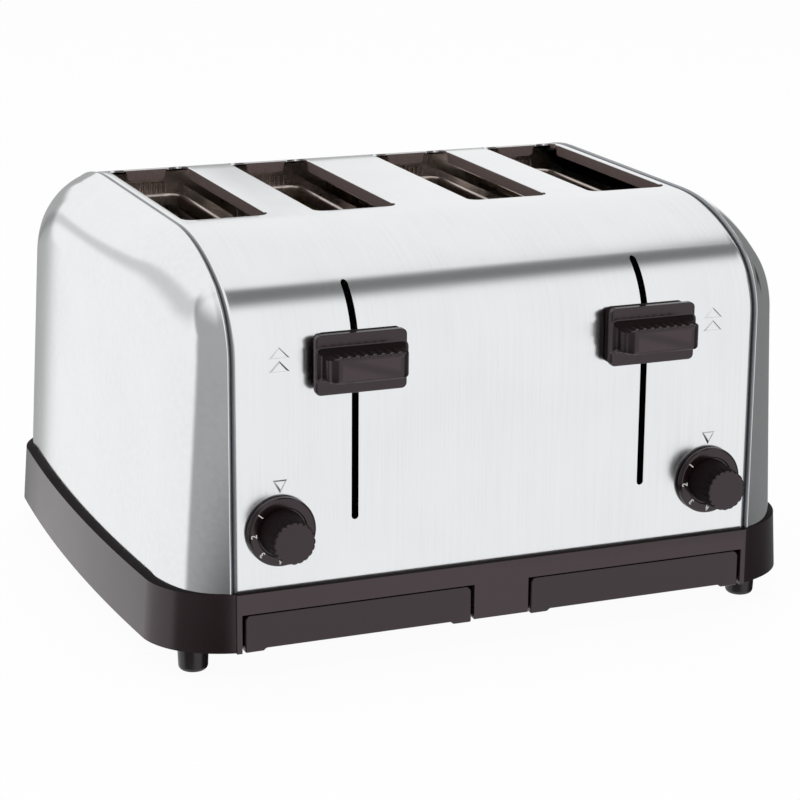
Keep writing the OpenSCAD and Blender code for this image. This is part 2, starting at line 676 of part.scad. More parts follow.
// A pair of wire guards that keep the bread off the heaters of one slot
guard_bar = guard_wire * 1.25;
guard_z0 = heater_z0 - 4;
guard_z1 = chute_z - plate_t - chute_lip - 3;
guard_count = floor((oven_rear_y - oven_front_y - guard_pitch) / guard_pitch);
module bread_guards(c) color("#b2b4b6") for (s = [-1, 1]) translate([c + s * guard_x, 0, 0]) {
    for (z = [guard_z0, guard_z1]) translate([0, oven_rear_y, z])
        rotate([90, 0, 0]) cylinder(h = oven_rear_y - oven_front_y, d = guard_bar, $fn = 8);
    for (i = [0:guard_count]) translate([0, slot_mid_y + (i - guard_count / 2) * guard_pitch, guard_z0])
        cylinder(h = guard_z1 - guard_z0, d = guard_wire, $fn = 6);
}

// Rod that a carriage slides on, from the floor to its tab
module guide_rod(s) color("#c5c8ca") on_side(s)
    translate([rod_x, rod_y, floor_top]) cylinder(h = tab_z - floor_top, d = rod_d);

// Return spring between a carriage lug and the tab above it: one wound wire
spring_z0 = lug_z + lug_h + rest_gap + spring_wire / 2;
spring_z1 = tab_z - rest_gap - spring_wire / 2;
coil_rings = 8;
wire_sides = 6;
function coil_point(i) = let (a = 360 * i / coil_rings)
    [spring_d / 2 * cos(a), spring_d / 2 * sin(a),
     spring_z0 + (spring_z1 - spring_z0) * i / (spring_turns * coil_rings)];
function coil_ring(i) = let (a = 360 * i / coil_rings, c = coil_point(i))
    [for (k = [0:wire_sides - 1]) let (b = 360 * k / wire_sides)
        c + spring_wire / 2 * [cos(b) * cos(a), cos(b) * sin(a), sin(b)]];
coil_last = spring_turns * coil_rings;
spring_gap = (spring_z1 - spring_z0) / spring_turns - spring_wire;
coil_points = [for (i = [0:coil_last]) each coil_ring(i)];
coil_faces = concat(
    [for (i = [0:coil_last - 1]) for (k = [0:wire_sides - 1])
        let (n = (k + 1) % wire_sides, a = i * wire_sides, b = a + wire_sides)
        each quad(a + k, a + n, b + n, b + k)],
    [for (k = [1:wire_sides - 2]) [0, k + 1, k]],
    [for (k = [1:wire_sides - 2]) let (e = coil_last * wire_sides) [e, e + k, e + k + 1]]);
module return_spring(s) color("#9fa3a6") {
    echo(least_gap_between_turns = spring_gap);
    on_side(s) translate([spring_x, rod_y, 0]) polyhedron(coil_points, coil_faces);
}

// Latch: a keeper on the carriage comes down on an electromagnet on the floor
keeper_z = lever_z - stem_h / 2 - keeper_t;
keeper_x = pair_x - stem_w / 2 - keeper_w / 2;
magnet_top = keeper_z - lever_drop - rest_gap;
magnet_foot_t = 3;
core_d = 8;
coil_d = keeper_w - 2;
module magnet_cores() color("#77797c") for (s = [-1, 1]) translate([s * keeper_x, rod_y, floor_top]) {
    cylinder(h = magnet_top - floor_top, d = core_d);
    translate([-coil_d / 2, -coil_d / 2, 0]) cube([coil_d, coil_d, magnet_foot_t]);
}
module magnet_coils() color("#a65a2e") for (s = [-1, 1])
    translate([s * keeper_x, rod_y, floor_top + magnet_foot_t]) difference() {
        cylinder(h = magnet_top - floor_top - 2 * magnet_foot_t, d = coil_d);
        translate([0, 0, -1]) cylinder(h = magnet_top - floor_top, d = core_d + 0.2);
    }
module latch_keeper(s) color("#8c8e91") on_side(s) translate([keeper_x, rod_y, keeper_z])
    translate([-keeper_w / 2, -keeper_w / 2, 0]) cube([keeper_w, keeper_w, keeper_t]);

// Control board behind each knob, with the potentiometer that the knob's shaft turns
board_y = front_y + board_depth;
board_top = knob_z + board_over;
shaft_end_gap = 0.8;
module control_boards() color("#2f5d3a") for (s = [-1, 1]) on_side(s)
    block([knob_x - board_w / 2, board_y, floor_top], [knob_x + board_w / 2, board_y + board_t, board_top]);
module potentiometer(s) color("#4a4d52") on_side(s)
    translate([knob_x, board_y, knob_z]) rotate([90, 0, 0]) difference() {
        cylinder(h = pot_l, d = pot_d);
        translate([0, 0, shaft_end_gap]) cylinder(h = pot_l, d = shaft_d + 2 * rod_clear);
    }

// Switch that the carriage's lug presses when the lever is down
switch_w = 8;
switch_l = 14;
switch_button_d = 3;
switch_button_h = 2;
module lever_switch(s) color("#33363b") on_side(s) translate([spring_x, rod_y, 0]) {
    switch_top = lug_z - lever_drop - rest_gap - switch_button_h;
    block([-switch_w / 2, -switch_l / 2, floor_top], [switch_w / 2, switch_l / 2, switch_top]);
    translate([0, 0, switch_top - join]) cylinder(h = switch_button_h + join, d = switch_button_d);
}

// Terminal block on the floor behind the oven
terminal_l = 46;
terminal_w = 14;
terminal_h = 16;
terminal_ways = 4;
module terminal_block() color("#d8d4c8") difference() {
    y = (oven_rear_y + plate_t + back_y) / 2;
    block([gland_x - terminal_l, y - terminal_w / 2, floor_top],
          [gland_x, y + terminal_w / 2, floor_top + terminal_h]);
    for (i = [0:terminal_ways - 1])
        translate([gland_x - terminal_l * (i + 0.5) / terminal_ways, y, floor_top + terminal_h / 2])
            cylinder(h = terminal_h, d = 6);
}

// Bushed gland in the back panel, where the mains lead would come in
gland_inside = 9;
module cord_gland() color("#2b2728")
    translate([gland_x, back_y, gland_z]) rotate([-90, 0, 0]) rotate_extrude() polygon([
        [gland_bore_d / 2, -gland_inside], [gland_neck_d / 2, -gland_inside],
        [gland_neck_d / 2, 0], [gland_flange_d / 2, 0],
        [gland_flange_d / 2 - gland_flange_t / 2, gland_flange_t], [gland_bore_d / 2, gland_flange_t]]);

// Lever handle: plate that passes in front of the dial, ribbed grip, socket for the stem
plate_y = front_y - lever_gap;
grip_root_y = plate_y - lever_plate_t;
grip_y = grip_root_y - lever_grip_reach;
grip_cove = 3;
grip_corner = 2.5;
rib_d = 1.8;
socket_clear = 0.1;
stem_tip_y = grip_root_y - lever_grip_reach / 2;
collar_w = 2 * (knob_x - dial_d / 2 - pair_x) - 2;
function grip_side(z) = [
    [grip_root_y + join, z - lever_grip_h / 2 - grip_cove], [grip_root_y, z - lever_grip_h / 2 - grip_cove],
    [grip_root_y - grip_cove / 3, z - lever_grip_h / 2 - grip_cove / 3],
    [grip_root_y - grip_cove, z - lever_grip_h / 2], [grip_y, z - lever_grip_h / 2],
    [grip_y, z + lever_grip_h / 2], [grip_root_y - grip_cove, z + lever_grip_h / 2],
    [grip_root_y - grip_cove / 3, z + lever_grip_h / 2 + grip_cove / 3],
    [grip_root_y, z + lever_grip_h / 2 + grip_cove], [grip_root_y + join, z + lever_grip_h / 2 + grip_cove]];
function grip_plan() = let (w = lever_grip_w / 2, c = grip_corner, f = grip_cove) [
    [-w - f, grip_root_y + join], [-w - f, grip_root_y], [-w - f / 3, grip_root_y - f / 3],
    [-w, grip_root_y - f], [-w, grip_y + c], [c / 3 - w, grip_y + c / 3], [c - w, grip_y],
    [w - c, grip_y], [w - c / 3, grip_y + c / 3], [w, grip_y + c], [w, grip_root_y - f],
    [w + f / 3, grip_root_y - f / 3], [w + f, grip_root_y], [w + f, grip_root_y + join]];
module lever_handle(s) color("#4a4244") on_side(s) translate([pair_x, 0, 0]) difference() {
    union() {
        translate([0, 0, lever_z]) along_y(grip_root_y, lever_plate_t)
            polygon(rounded(lever_plate_w, lever_plate_h, grip_corner, 3));
        translate([0, 0, lever_z]) along_y(plate_y - join, front_y - dial_gap - plate_y + join)
            polygon(rounded(collar_w, lever_plate_h, grip_corner, 3));
        intersection() {
            along_x(-lever_plate_w, 2 * lever_plate_w) polygon(grip_side(lever_z));
            translate([0, 0, lever_z - lever_plate_h])
                linear_extrude(2 * lever_plate_h) polygon(grip_plan());
        }
        for (i = [0:lever_ribs - 1])
            translate([(i - (lever_ribs - 1) / 2) * (lever_grip_w - 2 * grip_corner) / lever_ribs,
                       grip_root_y - grip_cove, lever_z + lever_grip_h / 2])
                rotate([90, 0, 0]) rotate([0, 0, 22.5])
                    cylinder(h = lever_grip_reach - grip_cove - 0.5, d = rib_d, $fn = 8);
    }
    block([-stem_w / 2 - socket_clear, stem_tip_y - socket_clear, lever_z - stem_h / 2 - socket_clear],
          [stem_w / 2 + socket_clear, front_y, lever_z + stem_h / 2 + socket_clear]);
}

// Carriage: stem out to the handle, web, bush on the rod, bar and two arms into the oven
web_y0 = rod_y - keeper_w / 2;
module carriage(s) color("#a5a8ab") on_side(s) difference() {
    union() {
        translate([pair_x, 0, 0]) {
            block([-stem_w / 2, stem_tip_y, lever_z - stem_h / 2],
                  [stem_w / 2, bar_y + join, lever_z + stem_h / 2]);
            block([-stem_w / 2, web_y0, bar_z], [stem_w / 2, bar_y + join, lever_z]);
        }
        block([inner_x - arm_w / 2, bar_y, bar_z], [outer_x + arm_w / 2, bar_y + bar_t, rack_z]);
        for (c = [inner_x, outer_x]) block(
            [c - arm_w / 2, bar_y, bar_z], [c + arm_w / 2, oven_front_y + 2 * arm_w, rack_z]);
        block([rod_x - bush_w / 2, rod_y - bush_w / 2, bar_z],
              [rod_x + bush_w / 2, rod_y + bush_w / 2, bush_top]);
        block([rod_x - bush_w / 2, rod_y, bar_z], [rod_x + bush_w / 2, bar_y + join, rack_z]);
        block([rod_x, rod_y - lug_half, lug_z], [spring_x + lug_half, rod_y + lug_half, lug_z + lug_h]);
    }
    translate([rod_x, rod_y, bar_z - 1]) cylinder(h = bush_h + 2, d = rod_d + 2 * rod_clear);
}

// Bread rack: a spine from the carriage arm to its tongue in the rear wall, with cross fingers
finger_t = 2;
rack_y0 = oven_front_y + 2 * arm_w;
rack_y1 = oven_rear_y + plate_t + 5;
finger_count = floor((slot_l - finger_t) / rack_pitch);
module bread_rack(c) color("#b0b2b4") {
    block([c - arm_w / 2, rack_y0, bar_z], [c + arm_w / 2, rack_y1, rack_z]);
    for (i = [0:finger_count]) translate([c, slot_mid_y + (i - finger_count / 2) * rack_pitch, rack_z])
        block([-rack_w / 2, -finger_t / 2, -finger_t], [rack_w / 2, finger_t / 2, 0]);
}

// Knob with its dial, and the shaft into the potentiometer
bore_end = dial_gap + dial_t + barrel_l * 0.7;
flute_d = 1.2;
dial_bevel = 1.5;
barrel_taper = 0.7;
module knob(s) color("#3f383a") translate([s * knob_x, front_y, knob_z]) rotate([90, 0, 0]) difference() {
    rotate_extrude() polygon([
        [shaft_d / 2 + socket_clear, dial_gap], [dial_d / 2, dial_gap],
        [dial_d / 2, dial_gap + dial_t - dial_bevel], [dial_d / 2 - dial_bevel, dial_gap + dial_t],
        [barrel_d / 2, dial_gap + dial_t], [barrel_d / 2 - barrel_taper, knob_reach - 1],
        [barrel_d / 2 - barrel_taper - 1, knob_reach], [0, knob_reach], [0, bore_end],
        [shaft_d / 2 + socket_clear, bore_end]]);
    for (i = [0:barrel_flutes - 1]) rotate([0, 0, 360 * (i + 0.5) / barrel_flutes])
        translate([barrel_d / 2, 0, dial_gap + dial_t + 2]) cylinder(h = barrel_l, d = flute_d, $fn = 6);
}
module knob_shaft(s) color("#b8bbbe") translate([s * knob_x, front_y, knob_z]) rotate([90, 0, 0])
    translate([0, 0, shaft_end_gap + rest_gap - board_depth])
        cylinder(h = bore_end + board_depth - shaft_end_gap - 2 * rest_gap, d = shaft_d);

// Crumb tray: a folded pan behind a moulded front that closes flush with the fascia
pan_y = tray_front_y + tray_front_t;
pan_w = tray_front_w - 2 * tray_shoulder;
front_foot = 9;
front_corner = 3;
module tray_front(s) color("#433b3d") on_side(s) {
    w = tray_front_w / 2;
    translate([tray_x, 0, 0]) along_y(tray_front_y, tray_front_t) polygon(concat(
        [[w, foot_h]],
        arc([w - front_corner, foot_h + tray_front_h - front_corner], front_corner, 0, 90, 4),
        arc([front_corner - w, foot_h + tray_front_h - front_corner], front_corner, 90, 180, 4),
        [[-w, foot_h], [front_foot - w, foot_h], [front_foot + tray_step - w, foot_h + tray_step],
         [w - front_foot - tray_step, foot_h + tray_step], [w - front_foot, foot_h]]));
}
module tray_pan(s) color("#a8abad") on_side(s) difference() {
    block([tray_x - pan_w / 2, pan_y, tray_z], [tray_x + pan_w / 2, pan_y + tray_l, tray_z + tray_h]);
    block([tray_x - pan_w / 2 + sheet_t, pan_y + sheet_t, tray_z + sheet_t],
          [tray_x + pan_w / 2 - sheet_t, pan_y + tray_l - sheet_t, tray_z + tray_h + 1]);
}

wrap_part(front_y - 1, wrap_front_y, base_z - 1, top_z + 1);  // wrap_front
wrap_part(wrap_front_y, wrap_back_y, base_z - 1, top_z + 1);  // wrap_top
wrap_part(wrap_back_y, back_y + 1, shoulder_z, top_z + 1);  // wrap_bend
wrap_part(wrap_back_y, back_y + 1, base_z - 1, shoulder_z);  // wrap_back
end_panel(-1);  // left_end_panel
end_panel(1);  // right_end_panel
base_skirt();
bottom_plate();
chassis_floor();
feet();
foot_screws();
oven_front_plate();
oven_rear_plate();
slot_chute(-1);  // left_slot_chute
slot_chute(1);  // right_slot_chute
shield(-shield_x);  // left_end_shield
shield(shield_x);  // right_end_shield
shield(0);  // centre_shield
heater(-outer_x - heater_x);  // left_outer_heater
heater(-pair_x);  // left_middle_heater
heater(heater_x - inner_x);  // left_inner_heater
heater(inner_x - heater_x);  // right_inner_heater
heater(pair_x);  // right_middle_heater
heater(outer_x + heater_x);  // right_outer_heater
heater_ribbons();
bread_guards(-outer_x);  // left_outer_guards
bread_guards(-inner_x);  // left_inner_guards
bread_guards(inner_x);  // right_inner_guards
bread_guards(outer_x);  // right_outer_guards
guide_rod(-1);  // left_guide_rod
guide_rod(1);  // right_guide_rod
return_spring(-1);  // left_return_spring
return_spring(1);  // right_return_spring
magnet_cores();
magnet_coils();
control_boards();
potentiometer(-1);  // left_potentiometer
potentiometer(1);  // right_potentiometer
lever_switch(-1);  // left_lever_switch
lever_switch(1);  // right_lever_switch
terminal_block();
cord_gland();
lever_handle(-1);  // left_lever_handle
lever_handle(1);  // right_lever_handle
carriage(-1);  // left_carriage
carriage(1);  // right_carriage
latch_keeper(-1);  // left_latch_keeper
latch_keeper(1);  // right_latch_keeper
bread_rack(-outer_x);  // left_outer_rack
bread_rack(-inner_x);  // left_inner_rack
bread_rack(inner_x);  // right_inner_rack
bread_rack(outer_x);  // right_outer_rack
knob(-1);  // left_knob
knob(1);  // right_knob
knob_shaft(-1);  // left_knob_shaft
knob_shaft(1);  // right_knob_shaft
tray_pan(-1);  // left_tray_pan
tray_pan(1);  // right_tray_pan
tray_front(-1);  // left_tray_front
tray_front(1);  // right_tray_front
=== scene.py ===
"""Looks of a four-slice counter toaster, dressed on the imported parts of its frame.

All sizes are millimetres in the part's own frame, +Z up and +Y to the back. Points become metres when a
mesh is made.
"""

from __future__ import annotations

import json
import logging
import math
from dataclasses import dataclass
from enum import Enum
from typing import Callable, Sequence

import bmesh
import bpy
from mathutils import Matrix, Vector

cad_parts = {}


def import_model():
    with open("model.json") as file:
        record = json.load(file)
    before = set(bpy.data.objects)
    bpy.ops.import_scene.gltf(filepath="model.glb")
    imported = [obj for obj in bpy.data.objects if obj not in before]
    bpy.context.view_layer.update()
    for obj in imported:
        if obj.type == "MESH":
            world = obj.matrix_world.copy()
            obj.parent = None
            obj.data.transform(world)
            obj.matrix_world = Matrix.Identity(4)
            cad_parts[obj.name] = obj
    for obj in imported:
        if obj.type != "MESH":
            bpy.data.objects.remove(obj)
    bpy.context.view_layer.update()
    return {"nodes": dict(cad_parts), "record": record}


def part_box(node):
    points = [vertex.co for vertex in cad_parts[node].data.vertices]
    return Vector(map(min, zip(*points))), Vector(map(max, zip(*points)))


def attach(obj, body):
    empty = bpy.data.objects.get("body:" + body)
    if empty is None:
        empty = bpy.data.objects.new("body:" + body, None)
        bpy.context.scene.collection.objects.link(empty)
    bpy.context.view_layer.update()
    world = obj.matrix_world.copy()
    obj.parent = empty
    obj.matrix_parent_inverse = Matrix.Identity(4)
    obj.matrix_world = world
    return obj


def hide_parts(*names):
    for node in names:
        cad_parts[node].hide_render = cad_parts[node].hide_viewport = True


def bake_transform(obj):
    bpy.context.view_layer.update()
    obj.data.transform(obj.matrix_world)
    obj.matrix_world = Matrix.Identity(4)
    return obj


LOG = logging.getLogger("toaster")
MM = 0.001
IMAGE_PX = 800
# Distance within which points of a mesh become one, in millimetres
WELD_MM = 0.002
# Radius of the holes for the foot screws, in millimetres
SCREW_R = 2.1

Point = tuple[float, float, float]
Flat = tuple[float, float]
Place = Callable[[float, float, float], Point]

# Unevenness of every surface: size of its clouds in millimetres, their detail, and the levels between
# which the marks fade in
CLOUD_MM = 35.0
CLOUD_DETAIL = 3.0
MARK_LEVELS: Flat = (0.12, 0.42)
# Rubbed edges: the sharpness between which they fade in, and how far they cover the colour
WEAR_LEVELS: Flat = (0.52, 0.62)
WEAR_COVER = 0.7
COAT_ROUGHNESS = 0.12


class Side(Enum):
    """One of the two mirrored halves, with its sign along X."""

    LEFT = -1
    RIGHT = 1

    @property
    def word(self) -> str:
        """Word that starts the names of this half's pieces."""
        return self.name.lower()


def linear(colour: str) -> tuple[float, float, float, float]:
    """Turn an sRGB hex colour into linear light.

    Args:
        colour: Six hex digits after a hash.

    Returns:
        Red, green, blue and an alpha of 1.
    """
    parts = [int(colour[i:i + 2], 16) / 255 for i in (1, 3, 5)]
    light = [p / 12.92 if p <= 0.04045 else ((p + 0.055) / 1.055) ** 2.4 for p in parts]
    return light[0], light[1], light[2], 1.0


def add_node(tree: bpy.types.NodeTree, kind: str, inputs: dict | None = None,
             **settings: object) -> bpy.types.Node:
    """Add one shader node with its settings and links.

    Args:
        tree: Node tree that the node joins.
        kind: Blender's name for the node.
        inputs: Sockets by name or number, each with a value or with the output that feeds it.
        **settings: Properties of the node.

    Returns:
        The new node.
    """
    node = tree.nodes.new(kind)
    for name, value in settings.items():
        setattr(node, name, value)
    for socket, value in (inputs or {}).items():
        if isinstance(value, bpy.types.NodeSocket):
            tree.links.new(value, node.inputs[socket])
        else:
            node.inputs[socket].default_value = value
    return node


class Pattern(Enum):
    """Family of marks that a surface shows close up."""

    GRAIN = "ShaderNodeTexNoise"
    CELLS = "ShaderNodeTexVoronoi"


@dataclass(frozen=True)
class Finish:
    """One real material and how its surface was made.

    Attributes:
        name: Common name of the material and its working.
        colour: Colour of the surface, sRGB hex.
        second: Colour of the marks, sRGB hex.
        metallic: 1 for bare metal, 0 for anything else, between them for a film over metal.
        roughness: Lowest and highest roughness, between which the marks vary it.
        mark_mm: Size of the marks along X, Y and Z.
        relief_mm: Height of the marks.
        pattern: Family of the marks.
        ior: Index of refraction, left at the default for metals.
        coat: Weight of a clear glossy layer.
        worn: Colour of rubbed edges, or an empty string where none show.
        glint: Colour of the reflections where the surface isn't metal.
    """

    name: str
    colour: str
    second: str
    metallic: float
    roughness: tuple[float, float]
    mark_mm: Point
    relief_mm: float
    pattern: Pattern = Pattern.GRAIN
    ior: float = 1.5
    coat: float = 0.0
    worn: str = ""
    glint: str = "#FFFFFF"

    def material(self) -> bpy.types.Material:
        """Return the material, made once and shared by every piece that has this finish."""
        made = bpy.data.materials.get(self.name)
        if made is not None:
            return made
        made = bpy.data.materials.new(self.name)
        made.use_nodes = True
        tree = made.node_tree
        tree.nodes.clear()
        place = add_node(tree, "ShaderNodeTexCoord").outputs["Object"]
        stretch = add_node(tree, "ShaderNodeMapping", {
            "Vector": place, "Scale": Vector([1 / (m * MM) for m in self.mark_mm])})
        marks = add_node(tree, self.pattern.value, {"Vector": stretch.outputs[0], "Scale": 1.0})
        cloud = add_node(tree, "ShaderNodeTexNoise", {
            "Vector": place, "Scale": 1 / (CLOUD_MM * MM), "Detail": CLOUD_DETAIL})
        level = marks.outputs["Fac"] if self.pattern is Pattern.GRAIN else marks.outputs["Distance"]
        mixed = add_node(tree, "ShaderNodeMath", {0: level, 1: cloud.outputs["Fac"]}, operation="MULTIPLY")
        share = add_node(tree, "ShaderNodeMapRange", {
            "Value": mixed.outputs[0], "From Min": MARK_LEVELS[0],
            "From Max": MARK_LEVELS[1]}).outputs["Result"]
        tint = add_node(tree, "ShaderNodeMix", {
            "Factor": share, 6: linear(self.colour), 7: linear(self.second)}, data_type="RGBA").outputs[2]
        if self.worn:
            edge = add_node(tree, "ShaderNodeNewGeometry").outputs["Pointiness"]
            rubbed = add_node(tree, "ShaderNodeMapRange", {
                "Value": edge, "From Min": WEAR_LEVELS[0], "From Max": WEAR_LEVELS[1],
                "To Max": WEAR_COVER}).outputs["Result"]
            tint = add_node(tree, "ShaderNodeMix", {
                "Factor": rubbed, 6: tint, 7: linear(self.worn)}, data_type="RGBA").outputs[2]
        rough = add_node(tree, "ShaderNodeMapRange", {
            "Value": share, "To Min": self.roughness[0], "To Max": self.roughness[1]}).outputs["Result"]
        relief = add_node(tree, "ShaderNodeBump", {
            "Height": level, "Strength": 1.0, "Distance": self.relief_mm * MM}).outputs["Normal"]
        shader = add_node(tree, "ShaderNodeBsdfPrincipled", {
            "Base Color": tint, "Roughness": rough, "Normal": relief, "Metallic": self.metallic,
            "IOR": self.ior, "Specular Tint": linear(self.glint),
            "Coat Weight": self.coat, "Coat Roughness": COAT_ROUGHNESS})
        add_node(tree, "ShaderNodeOutputMaterial", {"Surface": shader.outputs[0]})
        return made


# Stainless sheet brushed along its length: a bright face with faint streaks across X. Real grit lines are
# 0.1 mm wide, drawn 0.7 mm wide here so that they show.
BRUSHED_STAINLESS = Finish("brushed_stainless_sheet", "#EBEDEE", "#E7E9EB", 1.0, (0.17, 0.21),
                           (0.7, 60.0, 60.0), 0.001)
# Deep-drawn stainless, satin polished: softer reflections than a mirror, no grain direction.
SATIN_STAINLESS = Finish("drawn_satin_stainless", "#EDEFF0", "#E9EBEC", 1.0, (0.09, 0.12),
                         (3.0, 3.0, 3.0), 0.002)
# ABS moulded in a polished tool: near black with a brown cast, shiny enough to mirror soft shapes.
MOULDED_ABS = Finish("moulded_dark_abs", "#150A0C", "#110809", 0.0, (0.17, 0.22),
                     (0.7, 0.7, 0.7), 0.002, ior=1.59, worn="#33282A", glint="#FFEEF5")
# The same ABS, dull and reflecting little: painted shade, black on the ledge, the backs, the tops of the
# grips and the knob barrels, chosen by which way their faces point.
DULL_ABS_PAINTED_SHADE = Finish("dull_abs_painted_shade", "#170D0F", "#110A0B", 0.0, (0.7, 0.85),
                    (0.5, 0.5, 0.5), 0.01, ior=1.25)
# Black rubber, moulded: dark, with a dull shine.
MOULDED_RUBBER = Finish("moulded_black_rubber", "#170F11", "#1C1416", 0.0, (0.25, 0.4),
                        (0.5, 0.5, 0.5), 0.006)
# Darker, duller stainless on the faces of both seams: painted shade of the seam grooves, the grey line along
# both seams.
SEAM_PAINTED_SHADE = Finish("seam_stainless_painted_shade", "#AEB0B4", "#A2A4A8", 1.0, (0.5, 0.6), (0.7, 60.0, 60.0), 0.001)
# Inside of the slot flanges, dimmer and browner than the sheet: painted shade with a painted brown
# reflection, the dim band under each slot's rim.
FLANGE_PAINTED_SHADE = Finish("flange_stainless_painted_shade", "#857572", "#766563", 0.35, (0.38, 0.5),
                           (1.5, 1.5, 1.5), 0.002)
# Aluminised sheet in the oven: grey metal browned by heat.
HEAT_DULLED_SHEET = Finish("heat_dulled_aluminised_sheet", "#CBBFB8", "#9F928B", 1.0, (0.2, 0.32),
                           (6.0, 18.0, 18.0), 0.01)
# Zinc-plated sheet: mid-grey metal with a pale spangle.
ZINC_PLATED = Finish("zinc_plated_sheet", "#B9BBBD", "#A6A9AC", 1.0, (0.28, 0.42),
                     (5.0, 5.0, 5.0), 0.004, pattern=Pattern.CELLS)
# Drawn steel wire, dulled by heat.
DRAWN_WIRE = Finish("drawn_steel_wire", "#98948F", "#7E7873", 1.0, (0.3, 0.45), (0.6, 0.6, 6.0), 0.01)
# Ground and polished rod: bright metal with fine turning rings.
GROUND_ROD = Finish("ground_steel_rod", "#D6D7D9", "#C6C8CB", 1.0, (0.12, 0.2), (4.0, 4.0, 0.5), 0.002)
# Pressed mica board: straw coloured flakes.
PRESSED_MICA = Finish("pressed_mica_board", "#D9CDA6", "#BCAC80", 0.0, (0.4, 0.6), (4.0, 6.0, 3.0), 0.03,
                      pattern=Pattern.CELLS)
# Resistance ribbon with its brown oxide.
OXIDISED_RIBBON = Finish("oxidised_resistance_ribbon", "#7A6A60", "#5A4C45", 1.0, (0.4, 0.55),
                         (1.0, 5.0, 1.0), 0.01)
# Enamelled copper winding: orange brown, glossy, with its turns as fine rings.
ENAMELLED_COPPER = Finish("enamelled_copper_winding", "#B4623A", "#8F4526", 1.0, (0.25, 0.35),
                          (8.0, 8.0, 0.5), 0.05, coat=0.4)
# Soft iron, ground and lightly oiled.
SOFT_IRON = Finish("ground_soft_iron", "#8D8F92", "#77797C", 1.0, (0.3, 0.45), (0.8, 3.0, 3.0), 0.006)
# Glass-epoxy board under green solder mask.
SOLDER_MASK = Finish("solder_masked_board", "#1F5A37", "#2C6F45", 0.0, (0.3, 0.45), (3.0, 3.0, 2.0), 0.02,
                     coat=0.3)
# Phenolic moulding: black with a dull shine.
MOULDED_PHENOLIC = Finish("moulded_black_phenolic", "#25272B", "#33363B", 0.0, (0.4, 0.55),
                          (0.8, 0.8, 0.8), 0.01)
# Nylon moulding: warm white, slightly waxy.
MOULDED_NYLON = Finish("moulded_white_nylon", "#DAD5C9", "#CCC6B8", 0.0, (0.4, 0.5), (2.0, 2.0, 2.0), 0.01)
# Screen-printed white ink.
PRINTED_INK = Finish("printed_white_ink", "#F4F4F2", "#E4E4E0", 0.0, (0.45, 0.6), (0.4, 0.4, 0.4), 0.004)

# Finish of each of the record's slots, for the parts whose own mesh is shown
SLOT_FINISHES: dict[str, Finish] = {
    "satin_steel": BRUSHED_STAINLESS, "polished_steel": SATIN_STAINLESS, "dark_plastic": MOULDED_ABS,
    "rubber": MOULDED_RUBBER, "zinc_steel": ZINC_PLATED, "aluminised_steel": HEAT_DULLED_SHEET,
    "wire_steel": DRAWN_WIRE, "ground_steel": GROUND_ROD, "mica": PRESSED_MICA,
    "resistance_ribbon": OXIDISED_RIBBON, "copper_winding": ENAMELLED_COPPER, "magnet_iron": SOFT_IRON,
    "circuit_board": SOLDER_MASK, "black_phenolic": MOULDED_PHENOLIC, "white_nylon": MOULDED_NYLON,
}


def arc(centre: Flat, radius: float, start: float, end: float, steps: int) -> list[Flat]:
    """Return points on a circular arc, ends included.

    Args:
        centre: Middle of the circle.
        radius: Its radius.
        start: First angle in degrees.
        end: Last angle in degrees.
        steps: Number of equal steps.

    Returns:
        The points in order.
    """
    turns = [math.radians(start + (end - start) * i / steps) for i in range(steps + 1)]
    return [(centre[0] + radius * math.cos(t), centre[1] + radius * math.sin(t)) for t in turns]


def rounded(width: float, length: float, radius: float, steps: int = 6) -> list[Flat]:
    """Return a centred rectangle with round corners, counter-clockwise from the right."""
    w, h = width / 2 - radius, length / 2 - radius
    corners = ((w, h, 0), (-w, h, 90), (-w, -h, 180), (w, -h, 270))
    return [p for x, y, a in corners for p in arc((x, y), radius, a, a + 90, steps)]


def spread(low: float, high: float, steps: int) -> list[float]:
    """Return evenly spaced values, ends included."""
    return [low + (high - low) * i / steps for i in range(steps + 1)]


def quarter(radius: float, steps: int) -> list[Flat]:
    """Return a quarter circle as run and rise from its start, level at first and upright at last."""
    turns = [math.radians(a) for a in spread(0, 90, steps)]
    return [(radius * math.sin(t), radius * (1 - math.cos(t))) for t in turns]


